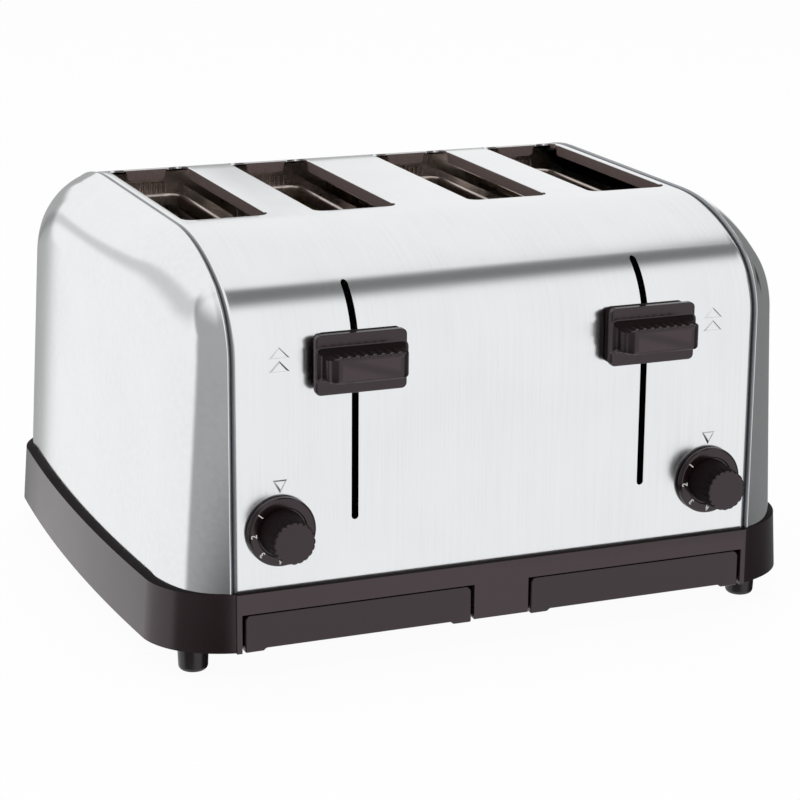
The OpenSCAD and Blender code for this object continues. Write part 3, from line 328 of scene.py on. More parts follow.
class Skin:
    """Faces gathered in millimetres and turned into one mesh piece."""

    def __init__(self) -> None:
        """Start with no faces."""
        self.mesh = bmesh.new()

    def grid(self, rows: Sequence[Sequence[Point]], close_columns: bool = False) -> None:
        """Join rows of points with four-sided faces.

        Args:
            rows: Rows with the same number of points each.
            close_columns: Whether each row runs round to its own start.
        """
        verts = [[self.mesh.verts.new(p) for p in row] for row in rows]
        count = len(rows[0])
        last = count if close_columns else count - 1
        for low, high in zip(verts, verts[1:]):
            for i in range(last):
                n = (i + 1) % count
                self.mesh.faces.new((low[i], low[n], high[n], high[i]))

    def cap(self, loop: Sequence[Point]) -> None:
        """Close a loop with one face."""
        self.mesh.faces.new([self.mesh.verts.new(p) for p in loop])

    def tube(self, rows: Sequence[Sequence[Point]]) -> None:
        """Join loops of points with faces and close both ends."""
        self.grid(rows, close_columns=True)
        self.cap(rows[0][::-1])
        self.cap(rows[-1])

    def prism(self, outline: Sequence[Flat], place: Place, low: float, high: float) -> None:
        """Add a solid of one outline between two depths.

        Args:
            outline: Outline of the solid, counter-clockwise.
            place: Turns outline coordinates and a depth into a point.
            low: First depth.
            high: Last depth.
        """
        self.tube([[place(u, v, d) for u, v in outline] for d in (low, high)])

    def lathe(self, profile: Sequence[Flat], place: Place, steps: int = 64,
              shape: Callable[[float, float, float], float] | None = None) -> None:
        """Turn a profile of radius and depth round an axis.

        Args:
            profile: Radii and depths, in order. A radius of 0 closes the end.
            place: Turns two cross coordinates and a depth into a point.
            steps: Number of points round.
            shape: Changes a radius by its angle in degrees and depth.
        """
        rows = []
        for radius, depth in profile:
            row = []
            for a in spread(0, 360, steps)[:-1]:
                r = shape(radius, depth, a) if shape else radius
                row.append(place(r * math.cos(math.radians(a)), r * math.sin(math.radians(a)), depth))
            rows.append(row)
        self.grid(rows, close_columns=True)

    def piece(self, name: str, closed: bool = True, weld_mm: float = WELD_MM) -> bpy.types.Object:
        """Weld the points and make the mesh object, in metres.

        Args:
            name: Name of the piece.
            closed: Whether the faces close a solid, whose faces are then turned outwards.
            weld_mm: Distance within which points become one.

        Returns:
            The new object, linked to the scene.
        """
        bmesh.ops.remove_doubles(self.mesh, verts=self.mesh.verts, dist=weld_mm)
        bmesh.ops.dissolve_degenerate(self.mesh, edges=self.mesh.edges, dist=weld_mm)
        if closed:
            bmesh.ops.recalc_face_normals(self.mesh, faces=self.mesh.faces)
        bmesh.ops.scale(self.mesh, vec=Vector((MM, MM, MM)), verts=self.mesh.verts)
        data = bpy.data.meshes.new(name)
        self.mesh.to_mesh(data)
        self.mesh.free()
        made = bpy.data.objects.new(name, data)
        bpy.context.scene.collection.objects.link(made)
        return made


def settle(piece: bpy.types.Object) -> None:
    """Apply the modifiers of a piece to its mesh."""
    depsgraph = bpy.context.evaluated_depsgraph_get()
    settled = bpy.data.meshes.new_from_object(piece.evaluated_get(depsgraph))
    piece.modifiers.clear()
    old = piece.data
    piece.data = settled
    bpy.data.meshes.remove(old)


def smooth(piece: bpy.types.Object, angle: float = 30.0) -> None:
    """Shade a piece smooth, but for edges sharper than an angle in degrees."""
    piece.data.shade_smooth()
    piece.data.set_sharp_from_angle(angle=math.radians(angle))


def soften(piece: bpy.types.Object, width_mm: float, segments: int = 3, angle: float = 32.0) -> None:
    """Round the sharp edges of a piece.

    Args:
        piece: Piece to change.
        width_mm: Width of the rounding.
        segments: Faces across the rounding.
        angle: Edges flatter than this angle in degrees stay.
    """
    smooth(piece, 180.0)
    bevel = piece.modifiers.new("rounded_edges", "BEVEL")
    bevel.width = width_mm * MM
    bevel.segments = segments
    bevel.limit_method = "ANGLE"
    bevel.angle_limit = math.radians(angle)
    bevel.harden_normals = True
    settle(piece)


def thicken(piece: bpy.types.Object, sheet_mm: float) -> None:
    """Give a skin the thickness of its sheet, inwards."""
    solid = piece.modifiers.new("sheet", "SOLIDIFY")
    solid.thickness = sheet_mm * MM
    solid.offset = -1.0
    settle(piece)


def cut(piece: bpy.types.Object, cutters: Sequence[bpy.types.Object]) -> None:
    """Cut closed solids out of a piece, and remove the solids."""
    for cutter in cutters:
        tool = piece.modifiers.new("cut", "BOOLEAN")
        tool.operation = "DIFFERENCE"
        tool.object = cutter
        tool.solver = "EXACT"
        settle(piece)
        data = cutter.data
        bpy.data.objects.remove(cutter)
        bpy.data.meshes.remove(data)


def join(pieces: Sequence[bpy.types.Object], name: str) -> bpy.types.Object:
    """Make one piece of several, under one name."""
    with bpy.context.temp_override(active_object=pieces[0], selected_editable_objects=list(pieces)):
        bpy.ops.object.join()
    pieces[0].name = name
    pieces[0].data.name = name
    return pieces[0]


def dress(piece: bpy.types.Object, finish: Finish, body: str,
          replaced: Sequence[str] = ()) -> None:
    """Give a piece its finish and tie it to the frame.

    Args:
        piece: Finished mesh piece.
        finish: Its material.
        body: Body of the frame that it moves with.
        replaced: Nodes that it stands for.
    """
    piece.data.materials.clear()
    piece.data.materials.append(finish.material())
    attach(piece, body)
    if replaced:
        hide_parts(*replaced)
    LOG.info("%s: %d faces, rides on %s", piece.name, len(piece.data.polygons), body)


def refinish(piece: bpy.types.Object, finish: Finish,
             chosen: Callable[[bpy.types.MeshPolygon], bool]) -> None:
    """Give the chosen faces of a dressed piece another finish."""
    piece.data.materials.append(finish.material())
    for face in piece.data.polygons:
        if chosen(face):
            face.material_index = len(piece.data.materials) - 1


def corner_mm(node: str, top: bool) -> Vector:
    """Return a node's lowest or highest corner in millimetres."""
    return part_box(node)[1 if top else 0] / MM


def span_mm(node: str) -> tuple[Vector, Vector]:
    """Return a node's lowest and highest corners in millimetres."""
    return corner_mm(node, False), corner_mm(node, True)


def middle_mm(node: str) -> Vector:
    """Return the middle of a node's box in millimetres."""
    low, high = span_mm(node)
    return (low + high) / 2


def on_front(u: float, v: float, depth: float) -> Point:
    """Place an upright outline so that depth counts towards the front."""
    return u, -depth, v


def on_floor(u: float, v: float, depth: float) -> Point:
    """Place a flat outline so that depth counts upwards."""
    return u, v, depth


def front_prism(name: str, outline: Sequence[Flat], low: float, high: float) -> bpy.types.Object:
    """Return a solid of an upright outline between two depths, which count towards the front."""
    skin = Skin()
    skin.prism(outline, on_front, low, high)
    return skin.piece(name)


@dataclass
class BodyForm:
    """Main places of the housing, and the bent profile that its sheet follows."""

    seam_x: float
    front_y: float
    back_y: float
    base_z: float
    top_z: float
    rim_proud: float = 1.5
    shoulder_r: float = 38.0
    crown_r: float = 120.0
    shoulder_turn: float = 60.0
    sheet: float = 1.0
    rise_steps: int = 6
    shoulder_steps: int = 20
    crown_steps: int = 8

    @classmethod
    def from_frame(cls) -> "BodyForm":
        """Read the places from the frame."""
        back = corner_mm("wrap_back", True)
        front = corner_mm("left_end_panel", False).y + cls.rim_proud
        return cls(back.x, front, back.y, corner_mm("wrap_back", False).z, corner_mm("wrap_top", True).z)

    @property
    def mid_y(self) -> float:
        """Middle of the housing, front to back."""
        return (self.front_y + self.back_y) / 2

    @property
    def crown_z(self) -> float:
        """Height of the wide bend's centre."""
        return self.top_z - self.crown_r

    @property
    def crown_in(self) -> float:
        """Distance of the wide bend's centre from the front panel."""
        return self.shoulder_r + (self.crown_r - self.shoulder_r) * math.cos(math.radians(self.shoulder_turn))

    @property
    def shoulder_z(self) -> float:
        """Height of the tight bend's centre."""
        rise = (self.crown_r - self.shoulder_r) * math.sin(math.radians(self.shoulder_turn))
        return self.crown_z + rise

    @property
    def shoulder_in(self) -> float:
        """Distance from the front panel at which the tight bend ends."""
        return self.shoulder_r * (1 - math.cos(math.radians(self.shoulder_turn)))

    def top_at(self, y: float) -> float:
        """Return the height of the sheet's outside over a place front to back."""
        inset = min(y - self.front_y, self.back_y - y)
        if inset >= self.crown_in:
            return self.top_z
        if inset >= self.shoulder_in:
            return self.crown_z + math.sqrt(self.crown_r ** 2 - (self.crown_in - inset) ** 2)
        return self.shoulder_z + math.sqrt(max(0.0, self.shoulder_r ** 2 - (self.shoulder_r - inset) ** 2))

    def front_at(self, z: float) -> float:
        """Return the place of the sheet's outside on the front at a height."""
        rise = max(0.0, z - self.shoulder_z)
        return self.front_y + self.shoulder_r - math.sqrt(self.shoulder_r ** 2 - rise ** 2)

    def outward(self, y: float, z: float) -> Flat:
        """Return the direction square to the sheet at a point of its profile, in y and z."""
        ahead = y < self.mid_y
        inset = y - self.front_y if ahead else self.back_y - y
        if z <= self.shoulder_z:
            way = (-1.0, 0.0)
        elif inset >= self.crown_in:
            way = (0.0, 1.0)
        else:
            tight = inset < self.shoulder_in
            run, height = (self.shoulder_r, self.shoulder_z) if tight else (self.crown_in, self.crown_z)
            length = math.hypot(inset - run, z - height)
            way = ((inset - run) / length, (z - height) / length)
        return (way[0] if ahead else -way[0]), way[1]

    def front_half(self, out: float, fine: int = 1) -> list[Flat]:
        """Return the front half of the profile in y and z, moved outwards.

        Args:
            out: Distance outwards from the sheet.
            fine: Multiplies the number of points.

        Returns:
            Points from the base to the start of the flat top.
        """
        turn = 180 - self.shoulder_turn
        heights = spread(self.base_z, self.shoulder_z, self.rise_steps * fine)
        rise = [(self.front_y - out, z) for z in heights]
        shoulder = arc((self.front_y + self.shoulder_r, self.shoulder_z), self.shoulder_r + out,
                       180, turn, self.shoulder_steps * fine)
        crown = arc((self.front_y + self.crown_in, self.crown_z), self.crown_r + out,
                    turn, 90, self.crown_steps * fine)
        return rise + shoulder[1:] + crown[1:]


@dataclass
class WrapShell:
    """Brushed sheet over the front, top and back, with its rolled slot edges and pressed marks."""

    form: BodyForm
    slot_w: float = 42.0
    slot_l: float = 138.0
    slot_front: float = 85.5
    slot_corner: float = 5.0
    roll_r: float = 0.5
    flange: float = 6.0
    relief: float = 8.5
    relief_ease: float = 3.0
    relief_gap: float = 0.5
    flange_corner: float = 2.0
    cell_margin: float = 4.0
    notch_r: float = 4.0
    notch_deep: float = 3.0
    seam_roll: float = 2.4
    seam_step: float = 0.3
    seam_tuck: float = 4.0
    seam_shade_from: float = 0.6
    flange_shade_slack: float = 1.0
    flange_shade_from: float = 0.9
    flange_shade_past: float = 1.5
    flange_shade_slope: float = 0.3
    corner_steps: int = 8
    flange_steps: int = 26
    flange_rows: int = 10
    roll_steps: int = 6
    cut_over: float = 5.0
    lever_slit_w: float = 3.4
    lever_slit: Flat = (-77.0, 33.0)
    shaft_hole_r: float = 4.0
    gland_hole_r: float = 7.6
    arrow_size: Flat = (10.0, 5.2)
    arrow_lift: float = 2.5
    arrow_pitch: float = 6.3
    pointer_size: Flat = (7.0, 6.4)
    pointer_gap: float = 4.3
    mark_bevel: float = 1.0
    mark_proud: float = 0.75
    mark_sunk: float = 0.3
    mark_round: float = 0.75
    mark_steps: int = 6

    @property
    def slot_xs(self) -> list[float]:
        """Middles of the four slots, taken from the racks under them."""
        nodes = ("left_outer_rack", "left_inner_rack", "right_inner_rack", "right_outer_rack")
        return [middle_mm(n).x for n in nodes]

    @property
    def slot_mid_y(self) -> float:
        """Middle of the slots, front to back."""
        return self.form.front_y + self.slot_front + self.slot_l / 2

    def flange_half(self, half: float, down: float) -> float:
        """Return half of a flange's length at a depth, with its relieved ends and round lower corners.

        Args:
            half: Half length of the slot's side.
            down: Depth below the top.

        Returns:
            Half length of the flange there.
        """
        ease = max(0.0, 1 - down / (self.relief_ease + self.roll_r))
        corner = max(0.0, down - self.flange + self.flange_corner) / self.flange_corner
        lost = self.flange_corner * (1 - math.sqrt(max(0.0, 1 - corner ** 2)))
        return half - self.relief + self.relief_ease * (1 - math.sqrt(1 - ease ** 2)) - lost

    @property
    def notch_sunk(self) -> float:
        """Angle in radians by which a notch's arc runs on past its half turn."""
        return math.asin((self.notch_r - self.notch_deep) / self.notch_r)

    def notch(self, centre: float, hand: int) -> list[Flat]:
        """Return the arc of a notch at a slot's rear corner, on its right for 1 and its left for -1."""
        across = centre + hand * (self.slot_w / 2 + self.roll_r - self.notch_r)
        behind = self.slot_mid_y + self.slot_l / 2 + self.roll_r + self.notch_deep - self.notch_r
        swing = 180 - math.degrees(self.notch_sunk)
        start = 0 if hand > 0 else 180 - swing
        return arc((across, behind), self.notch_r, start, start + swing, self.corner_steps)

    def slot_cell(self, skin: Skin, centre: float, x_low: float,
                  x_high: float) -> tuple[list[float], list[float]]:
        """Add the top sheet round one slot with the flanges rolled down into it.

        Args:
            skin: Skin that the faces join.
            centre: Middle of the slot across.
            x_low: Left edge of this stretch of sheet.
            x_high: Right edge of this stretch of sheet.

        Returns:
            The places across and front to back of the points round the stretch.
        """
        form, mid = self.form, self.slot_mid_y
        half_w, half_l = self.slot_w / 2 + self.roll_r, self.slot_l / 2 + self.roll_r
        radius = self.slot_corner + self.roll_r
        y_low, y_high = mid - half_l - self.cell_margin, mid + half_l + self.cell_margin
        steps = self.corner_steps
        notch_w = self.notch_r * (1 + math.cos(self.notch_sunk))

        def spot(along: Flat, inward: Flat, run: float, out: float) -> Flat:
            """Return the point a run along one side and a distance out from the slot's middle."""
            return (centre + along[0] * run - inward[0] * out,
                    mid + along[1] * run - inward[1] * out)

        # Of each side: its direction, the way inwards, half its length, its distance from the middle, the
        # length that the corner after it takes, and the distance of the stretch's edge
        sides = (((0, 1), (-1, 0), half_l, half_w, radius, x_high - centre),
                 ((-1, 0), (0, -1), half_w, half_l, notch_w, y_high - mid),
                 ((0, -1), (1, 0), half_l, half_w, radius, centre - x_low),
                 ((1, 0), (0, 1), half_w, half_l, radius, mid - y_low))
        hole: list[Flat] = []
        rim: list[Flat] = []
        for number, (along, inward, half, off, corner, reach) in enumerate(sides):
            straight = half - corner
            clear = straight + self.relief - self.relief_ease - self.relief_gap
            top_half = self.flange_half(clear, 0.0)
            shares = [math.sin(math.pi / 2 * s) for s in spread(-1, 1, self.flange_steps)]
            stops = [-straight] + [top_half * s for s in shares] + [straight]
            hole += [spot(along, inward, s, off) for s in stops]
            rim += [spot(along, inward, s, reach) for s in stops]
            self.roll_flange(skin, (centre, mid), along, inward, off, clear, shares)
            if number < 2:
                bend = self.notch(centre, 1 - 2 * number)
            else:
                turn = math.degrees(math.atan2(-inward[1], -inward[0]))
                bend = arc(spot(along, inward, straight, off - radius), radius, turn, turn + 90, steps)
            _, _, next_half, _, next_corner, next_reach = sides[(number + 1) % 4]
            for i in range(1, steps):
                hole.append(bend[i])
                here = min(1.0, 2 * i / steps)
                there = max(0.0, 2 * i / steps - 1)
                run = straight + (next_reach - straight) * here
                out = reach - there * (reach - (next_half - next_corner))
                rim.append(spot(along, inward, run, out))
        lift = [[(x, y, form.top_at(y)) for x, y in loop] for loop in (rim, hole)]
        skin.grid(lift, close_columns=True)
        across = sorted({round(x, 6) for x, y in rim if abs(y - y_low) < 1e-6})
        lengthwise = sorted({round(y, 6) for x, y in rim if abs(x - x_low) < 1e-6})
        return across, lengthwise

    def roll_flange(self, skin: Skin, middle: Flat, along: Flat, inward: Flat, off: float, clear: float,
                    shares: Sequence[float]) -> None:
        """Add one flange, from the slot's edge over its roll to its lower edge.

        Args:
            skin: Skin that the faces join.
            middle: Middle of the slot.
            along: Direction along the side.
            inward: Direction into the slot.
            off: Distance of the side's edge from the middle.
            clear: Half length of the side that the flange is cut from.
            shares: Places along the flange, from -1 to 1.
        """
        upright = spread(self.roll_r, self.flange, self.flange_rows)[1:]
        rows = []
        for inset, down in quarter(self.roll_r, self.roll_steps) + [(self.roll_r, d) for d in upright]:
            half = self.flange_half(clear, down)
            row = []
            for s in shares:
                x = middle[0] + along[0] * s * half - inward[0] * (off - inset)
                y = middle[1] + along[1] * s * half - inward[1] * (off - inset)
                row.append((x, y, self.form.top_at(y) - down))
            rows.append(row)
        skin.grid(rows)

    def sheet(self) -> bpy.types.Object:
        """Return the bent sheet with its four slots."""
        form = self.form
        skin = Skin()
        xs = self.slot_xs
        edges = [-form.seam_x] + [(a + b) / 2 for a, b in zip(xs, xs[1:])] + [form.seam_x]
        across: set[float] = set()
        along: list[float] = []
        for centre, low, high in zip(xs, edges, edges[1:]):
            places, along = self.slot_cell(skin, centre, low, high)
            across.update(places)
        columns = sorted(across)
        rise = form.front_half(0.0, 2)
        front = [p for p in rise if p[0] < along[0]] + [(along[0], form.top_at(along[0]))]
        behind = [(2 * form.mid_y - y, z) for y, z in reversed(rise)]
        back = [(along[-1], form.top_at(along[-1]))] + [p for p in behind if p[0] > along[-1]]
        for rows in (front, back):
            skin.grid([[(x, y, z) for x in columns] for y, z in rows])
        self.seam_edges(skin, front + [(y, form.top_at(y)) for y in along[1:-1]] + back)
        made = skin.piece("wrap_shell_sheet", closed=False)
        thicken(made, form.sheet)
        return made

    def seam_edges(self, skin: Skin, profile: Sequence[Flat]) -> None:
        """Add the sheet's two rolled edges, each with a flange tucked under its end panel.

        Args:
            skin: Skin that the faces join.
            profile: Points of the sheet from the front over the top to the back.
        """
        form = self.form
        tuck = self.seam_roll + self.seam_step
        section = quarter(self.seam_roll, self.roll_steps) + [(tuck, tuck), (tuck + self.seam_tuck, tuck)]
        ways = [form.outward(y, z) for y, z in profile]
        for side in Side:
            rows = [[(side.value * (form.seam_x + off), y - way[0] * down, z - way[1] * down)
                     for (y, z), way in zip(profile, ways)] for off, down in section]
            skin.grid(rows if side is Side.LEFT else rows[::-1])

    def cutters(self) -> list[bpy.types.Object]:
        """Return solids for the lever slits, the shaft holes and the gland hole."""
        front, over, half = -self.form.front_y, self.cut_over, self.lever_slit_w / 2
        made = []
        for side in Side:
            stem, lever_z = self.lever_place(side)
            low, high = (lever_z + v for v in self.lever_slit)
            slit = arc((stem, high - half), half, 0, 180, 10) + arc((stem, low + half), half, 180, 360, 10)
            made.append(front_prism(f"{side.word}_slit", slit, front - self.form.shoulder_r, front + over))
            hole = arc(self.shaft_place(side), self.shaft_hole_r, 0, 360, 32)[:-1]
            made.append(front_prism(f"{side.word}_hole", hole, front - over, front + over))
        gland, back = middle_mm("cord_gland"), -self.form.back_y
        hole = arc((gland.x, gland.z), self.gland_hole_r, 0, 360, 48)[:-1]
        made.append(front_prism("gland_hole", hole, back - over, back + over))
        return made

    @staticmethod
    def lever_place(side: Side) -> Flat:
        """Return the middle of a lever handle, in x and z."""
        middle = middle_mm(f"{side.word}_lever_handle")
        return middle.x, middle.z

    @staticmethod
    def shaft_place(side: Side) -> Flat:
        """Return a knob shaft's place on the front, in x and z."""
        middle = middle_mm(f"{side.word}_knob_shaft")
        return middle.x, middle.z

    def mark(self, x: float, z: float, size: Flat, up: int) -> bpy.types.Object:
        """Return one pressed triangle with a bevelled edge, which follows the front.

        Args:
            x: Middle of the mark across.
            z: Middle of its height.
            size: Its width and height.
            up: 1 where it points up, -1 where it points down.

        Returns:
            The raised mark.
        """
        width, tall = size
        inradius = width * tall / (width + 2 * math.hypot(tall, width / 2))
        centre = inradius - tall / 2
        corners = [(-width / 2, -tall / 2), (width / 2, -tall / 2), (0.0, tall / 2)]
        flat = 1 - self.mark_bevel / inradius
        proud = self.mark_proud
        rings = [(1.0, -self.mark_sunk), (1.0, 0.0), ((1 + flat) / 2, proud * self.mark_round)]
        rings += [(flat * s, proud) for s in (1.0, 0.5, 0.01)]
        rows = []
        for scale, lift in rings:
            loop = [(u * scale, centre + (v - centre) * scale) for u, v in corners]
            row = []
            for a, b in zip(loop, loop[1:] + loop[:1]):
                for share in spread(0, 1, self.mark_steps)[:-1]:
                    u, v = a[0] + (b[0] - a[0]) * share, a[1] + (b[1] - a[1]) * share
                    height = z + up * v
                    row.append((x + u, self.form.front_at(height) - lift, height))
            rows.append(row)
        skin = Skin()
        skin.tube(rows)
        made = skin.piece("pressed_mark")
        smooth(made, 25)
        return made

    def build(self) -> None:
        """Make the shell and dress it."""
        shell = self.sheet()
        cut(shell, self.cutters())
        smooth(shell, 35)
        marks = []
        for side in Side:
            x = self.shaft_place(side)[0]
            dial_top = corner_mm(f"{side.word}_knob", True).z
            lever_z = self.lever_place(side)[1]
            marks.append(self.mark(x, dial_top + self.pointer_gap, self.pointer_size, -1))
            for step in (-0.5, 0.5):
                height = lever_z + self.arrow_lift + step * self.arrow_pitch
                marks.append(self.mark(x, height, self.arrow_size, 1))
        shell = join([shell] + marks, "wrap_shell_sheet")
        dress(shell, BRUSHED_STAINLESS, "housing",
              ["wrap_front", "wrap_top", "wrap_bend", "wrap_back"])
        # Painted shade: the rolled seam edges get the darker, duller stainless.
        seam = (self.form.seam_x + self.seam_shade_from * self.seam_roll) * MM
        refinish(shell, SEAM_PAINTED_SHADE, lambda face: abs(face.center.x) > seam)
        # Painted shade: the inner faces of the slot flanges get the dim brownish finish.
        depths = (self.flange + self.flange_shade_slack, self.roll_r * self.flange_shade_from)
        low, high = ((self.form.top_z - down) * MM for down in depths)
        reach = self.slot_l / 2 + self.flange_shade_past
        front, back = ((self.slot_mid_y + hand * reach) * MM for hand in (-1, 1))
        refinish(shell, FLANGE_PAINTED_SHADE, lambda face: (
            abs(face.normal.z) < self.flange_shade_slope and abs(face.center.x) < seam
            and low < face.center.z < high and front < face.center.y < back))


@dataclass
class EndPanel:
    """Drawn end panel: a beaded rim, a wide rounding and a slightly bowed face."""

    form: BodyForm
    side: Side
    reach: float = 37.2
    edge_r: float = 36.0
    rim_slope: float = 15.0
    draft: float = 3.2
    bow_r: float = 1400.0
    bow_back: float = 20.0
    rim_in: float = 2.9
    rim_out: float = 0.3
    bead_r: float = 1.1
    bead_deep: float = 3.0
    bow_power: int = 4
    edge_steps: int = 28
    face_steps: int = 24

    def face_x(self, y: float, z: float) -> float:
        """Return the distance of the face from the middle of the toaster."""
        form = self.form
        bow = (y - form.mid_y - self.bow_back) ** 2 / (2 * self.bow_r)
        return form.seam_x + self.reach - bow - (z - form.base_z) * math.tan(math.radians(self.draft))

    def loop(self, out: float) -> list[Flat]:
        """Return the profile of one ring, from the front over the top to the back."""
        form = self.form
        half = form.front_half(out)
        behind = [(2 * form.mid_y - y, z) for y, z in reversed(half)]
        flat = [(y, half[-1][1]) for y in spread(half[-1][0], behind[0][0], self.face_steps)]
        return half + flat[1:-1] + behind

    def ring(self, angle: float) -> list[Point]:
        """Return one ring of the rounding, at its angle in degrees."""
        form = self.form
        start = math.radians(self.rim_slope)
        turn = math.radians(angle)
        rim = form.seam_x + self.rim_in
        inset = self.edge_r * (math.cos(start) - math.cos(turn))
        share = (math.sin(turn) - math.sin(start)) / (1 - math.sin(start))
        last = self.loop(self.rim_out - self.edge_r * math.cos(start))
        points = []
        for (y, z), far in zip(self.loop(self.rim_out - inset), last):
            bow = share ** self.bow_power * (self.face_x(y, z) - self.face_x(*far))
            side = self.face_x(*far) + bow
            points.append((rim + share * (side - rim), y, z))
        return points

    def bead(self) -> list[list[Point]]:
        """Return the rings of the rolled bead, from inside the shell to the foot of the rounding."""
        form = self.form
        centre = (self.rim_in + self.bead_r, self.rim_out - self.bead_r)
        section = [(self.rim_in, self.rim_out - self.bead_deep)] + arc(centre, self.bead_r, 180, 60, 8)
        return [[(form.seam_x + x, y, z) for y, z in self.loop(out)] for x, out in section]

    def build(self) -> None:
        """Make the panel and dress it."""
        rings = [self.ring(a) for a in spread(self.rim_slope, 90, self.edge_steps)]
        clear = self.form.seam_x + self.rim_in + 2 * self.bead_r
        kept = [r for r in rings if min(p[0] for p in r) > clear]
        half = len(self.form.front_half(0.0))
        last = rings[-1]
        face = []
        for i in range(half):
            a, b = last[i], last[-1 - i]
            ys = spread(a[1], b[1], self.face_steps)
            face.append([(self.face_x(y, a[2]), y, a[2]) for y in ys])
        skin = Skin()
        skin.grid(self.bead() + kept)
        skin.grid(face)
        if self.side is Side.LEFT:
            bmesh.ops.scale(skin.mesh, vec=Vector((-1, 1, 1)), verts=skin.mesh.verts)
            bmesh.ops.reverse_faces(skin.mesh, faces=skin.mesh.faces)
        bmesh.ops.remove_doubles(skin.mesh, verts=skin.mesh.verts, dist=WELD_MM)
        bmesh.ops.recalc_face_normals(skin.mesh, faces=skin.mesh.faces)
        outward = max(skin.mesh.faces, key=lambda f: abs(f.calc_center_median().x))
        if outward.normal.x * self.side.value < 0:
            bmesh.ops.reverse_faces(skin.mesh, faces=skin.mesh.faces)
        panel = skin.piece(f"{self.side.word}_end_cover", closed=False)
        thicken(panel, self.form.sheet)
        smooth(panel, 40)
        dress(panel, SATIN_STAINLESS, "housing", [f"{self.side.word}_end_panel"])
        # Painted shade: the bead at the seam gets the darker, duller stainless.
        rolled = (self.form.seam_x + self.rim_in + self.bead_r) * MM
        refinish(panel, SEAM_PAINTED_SHADE, lambda face: abs(face.center.x) < rolled)


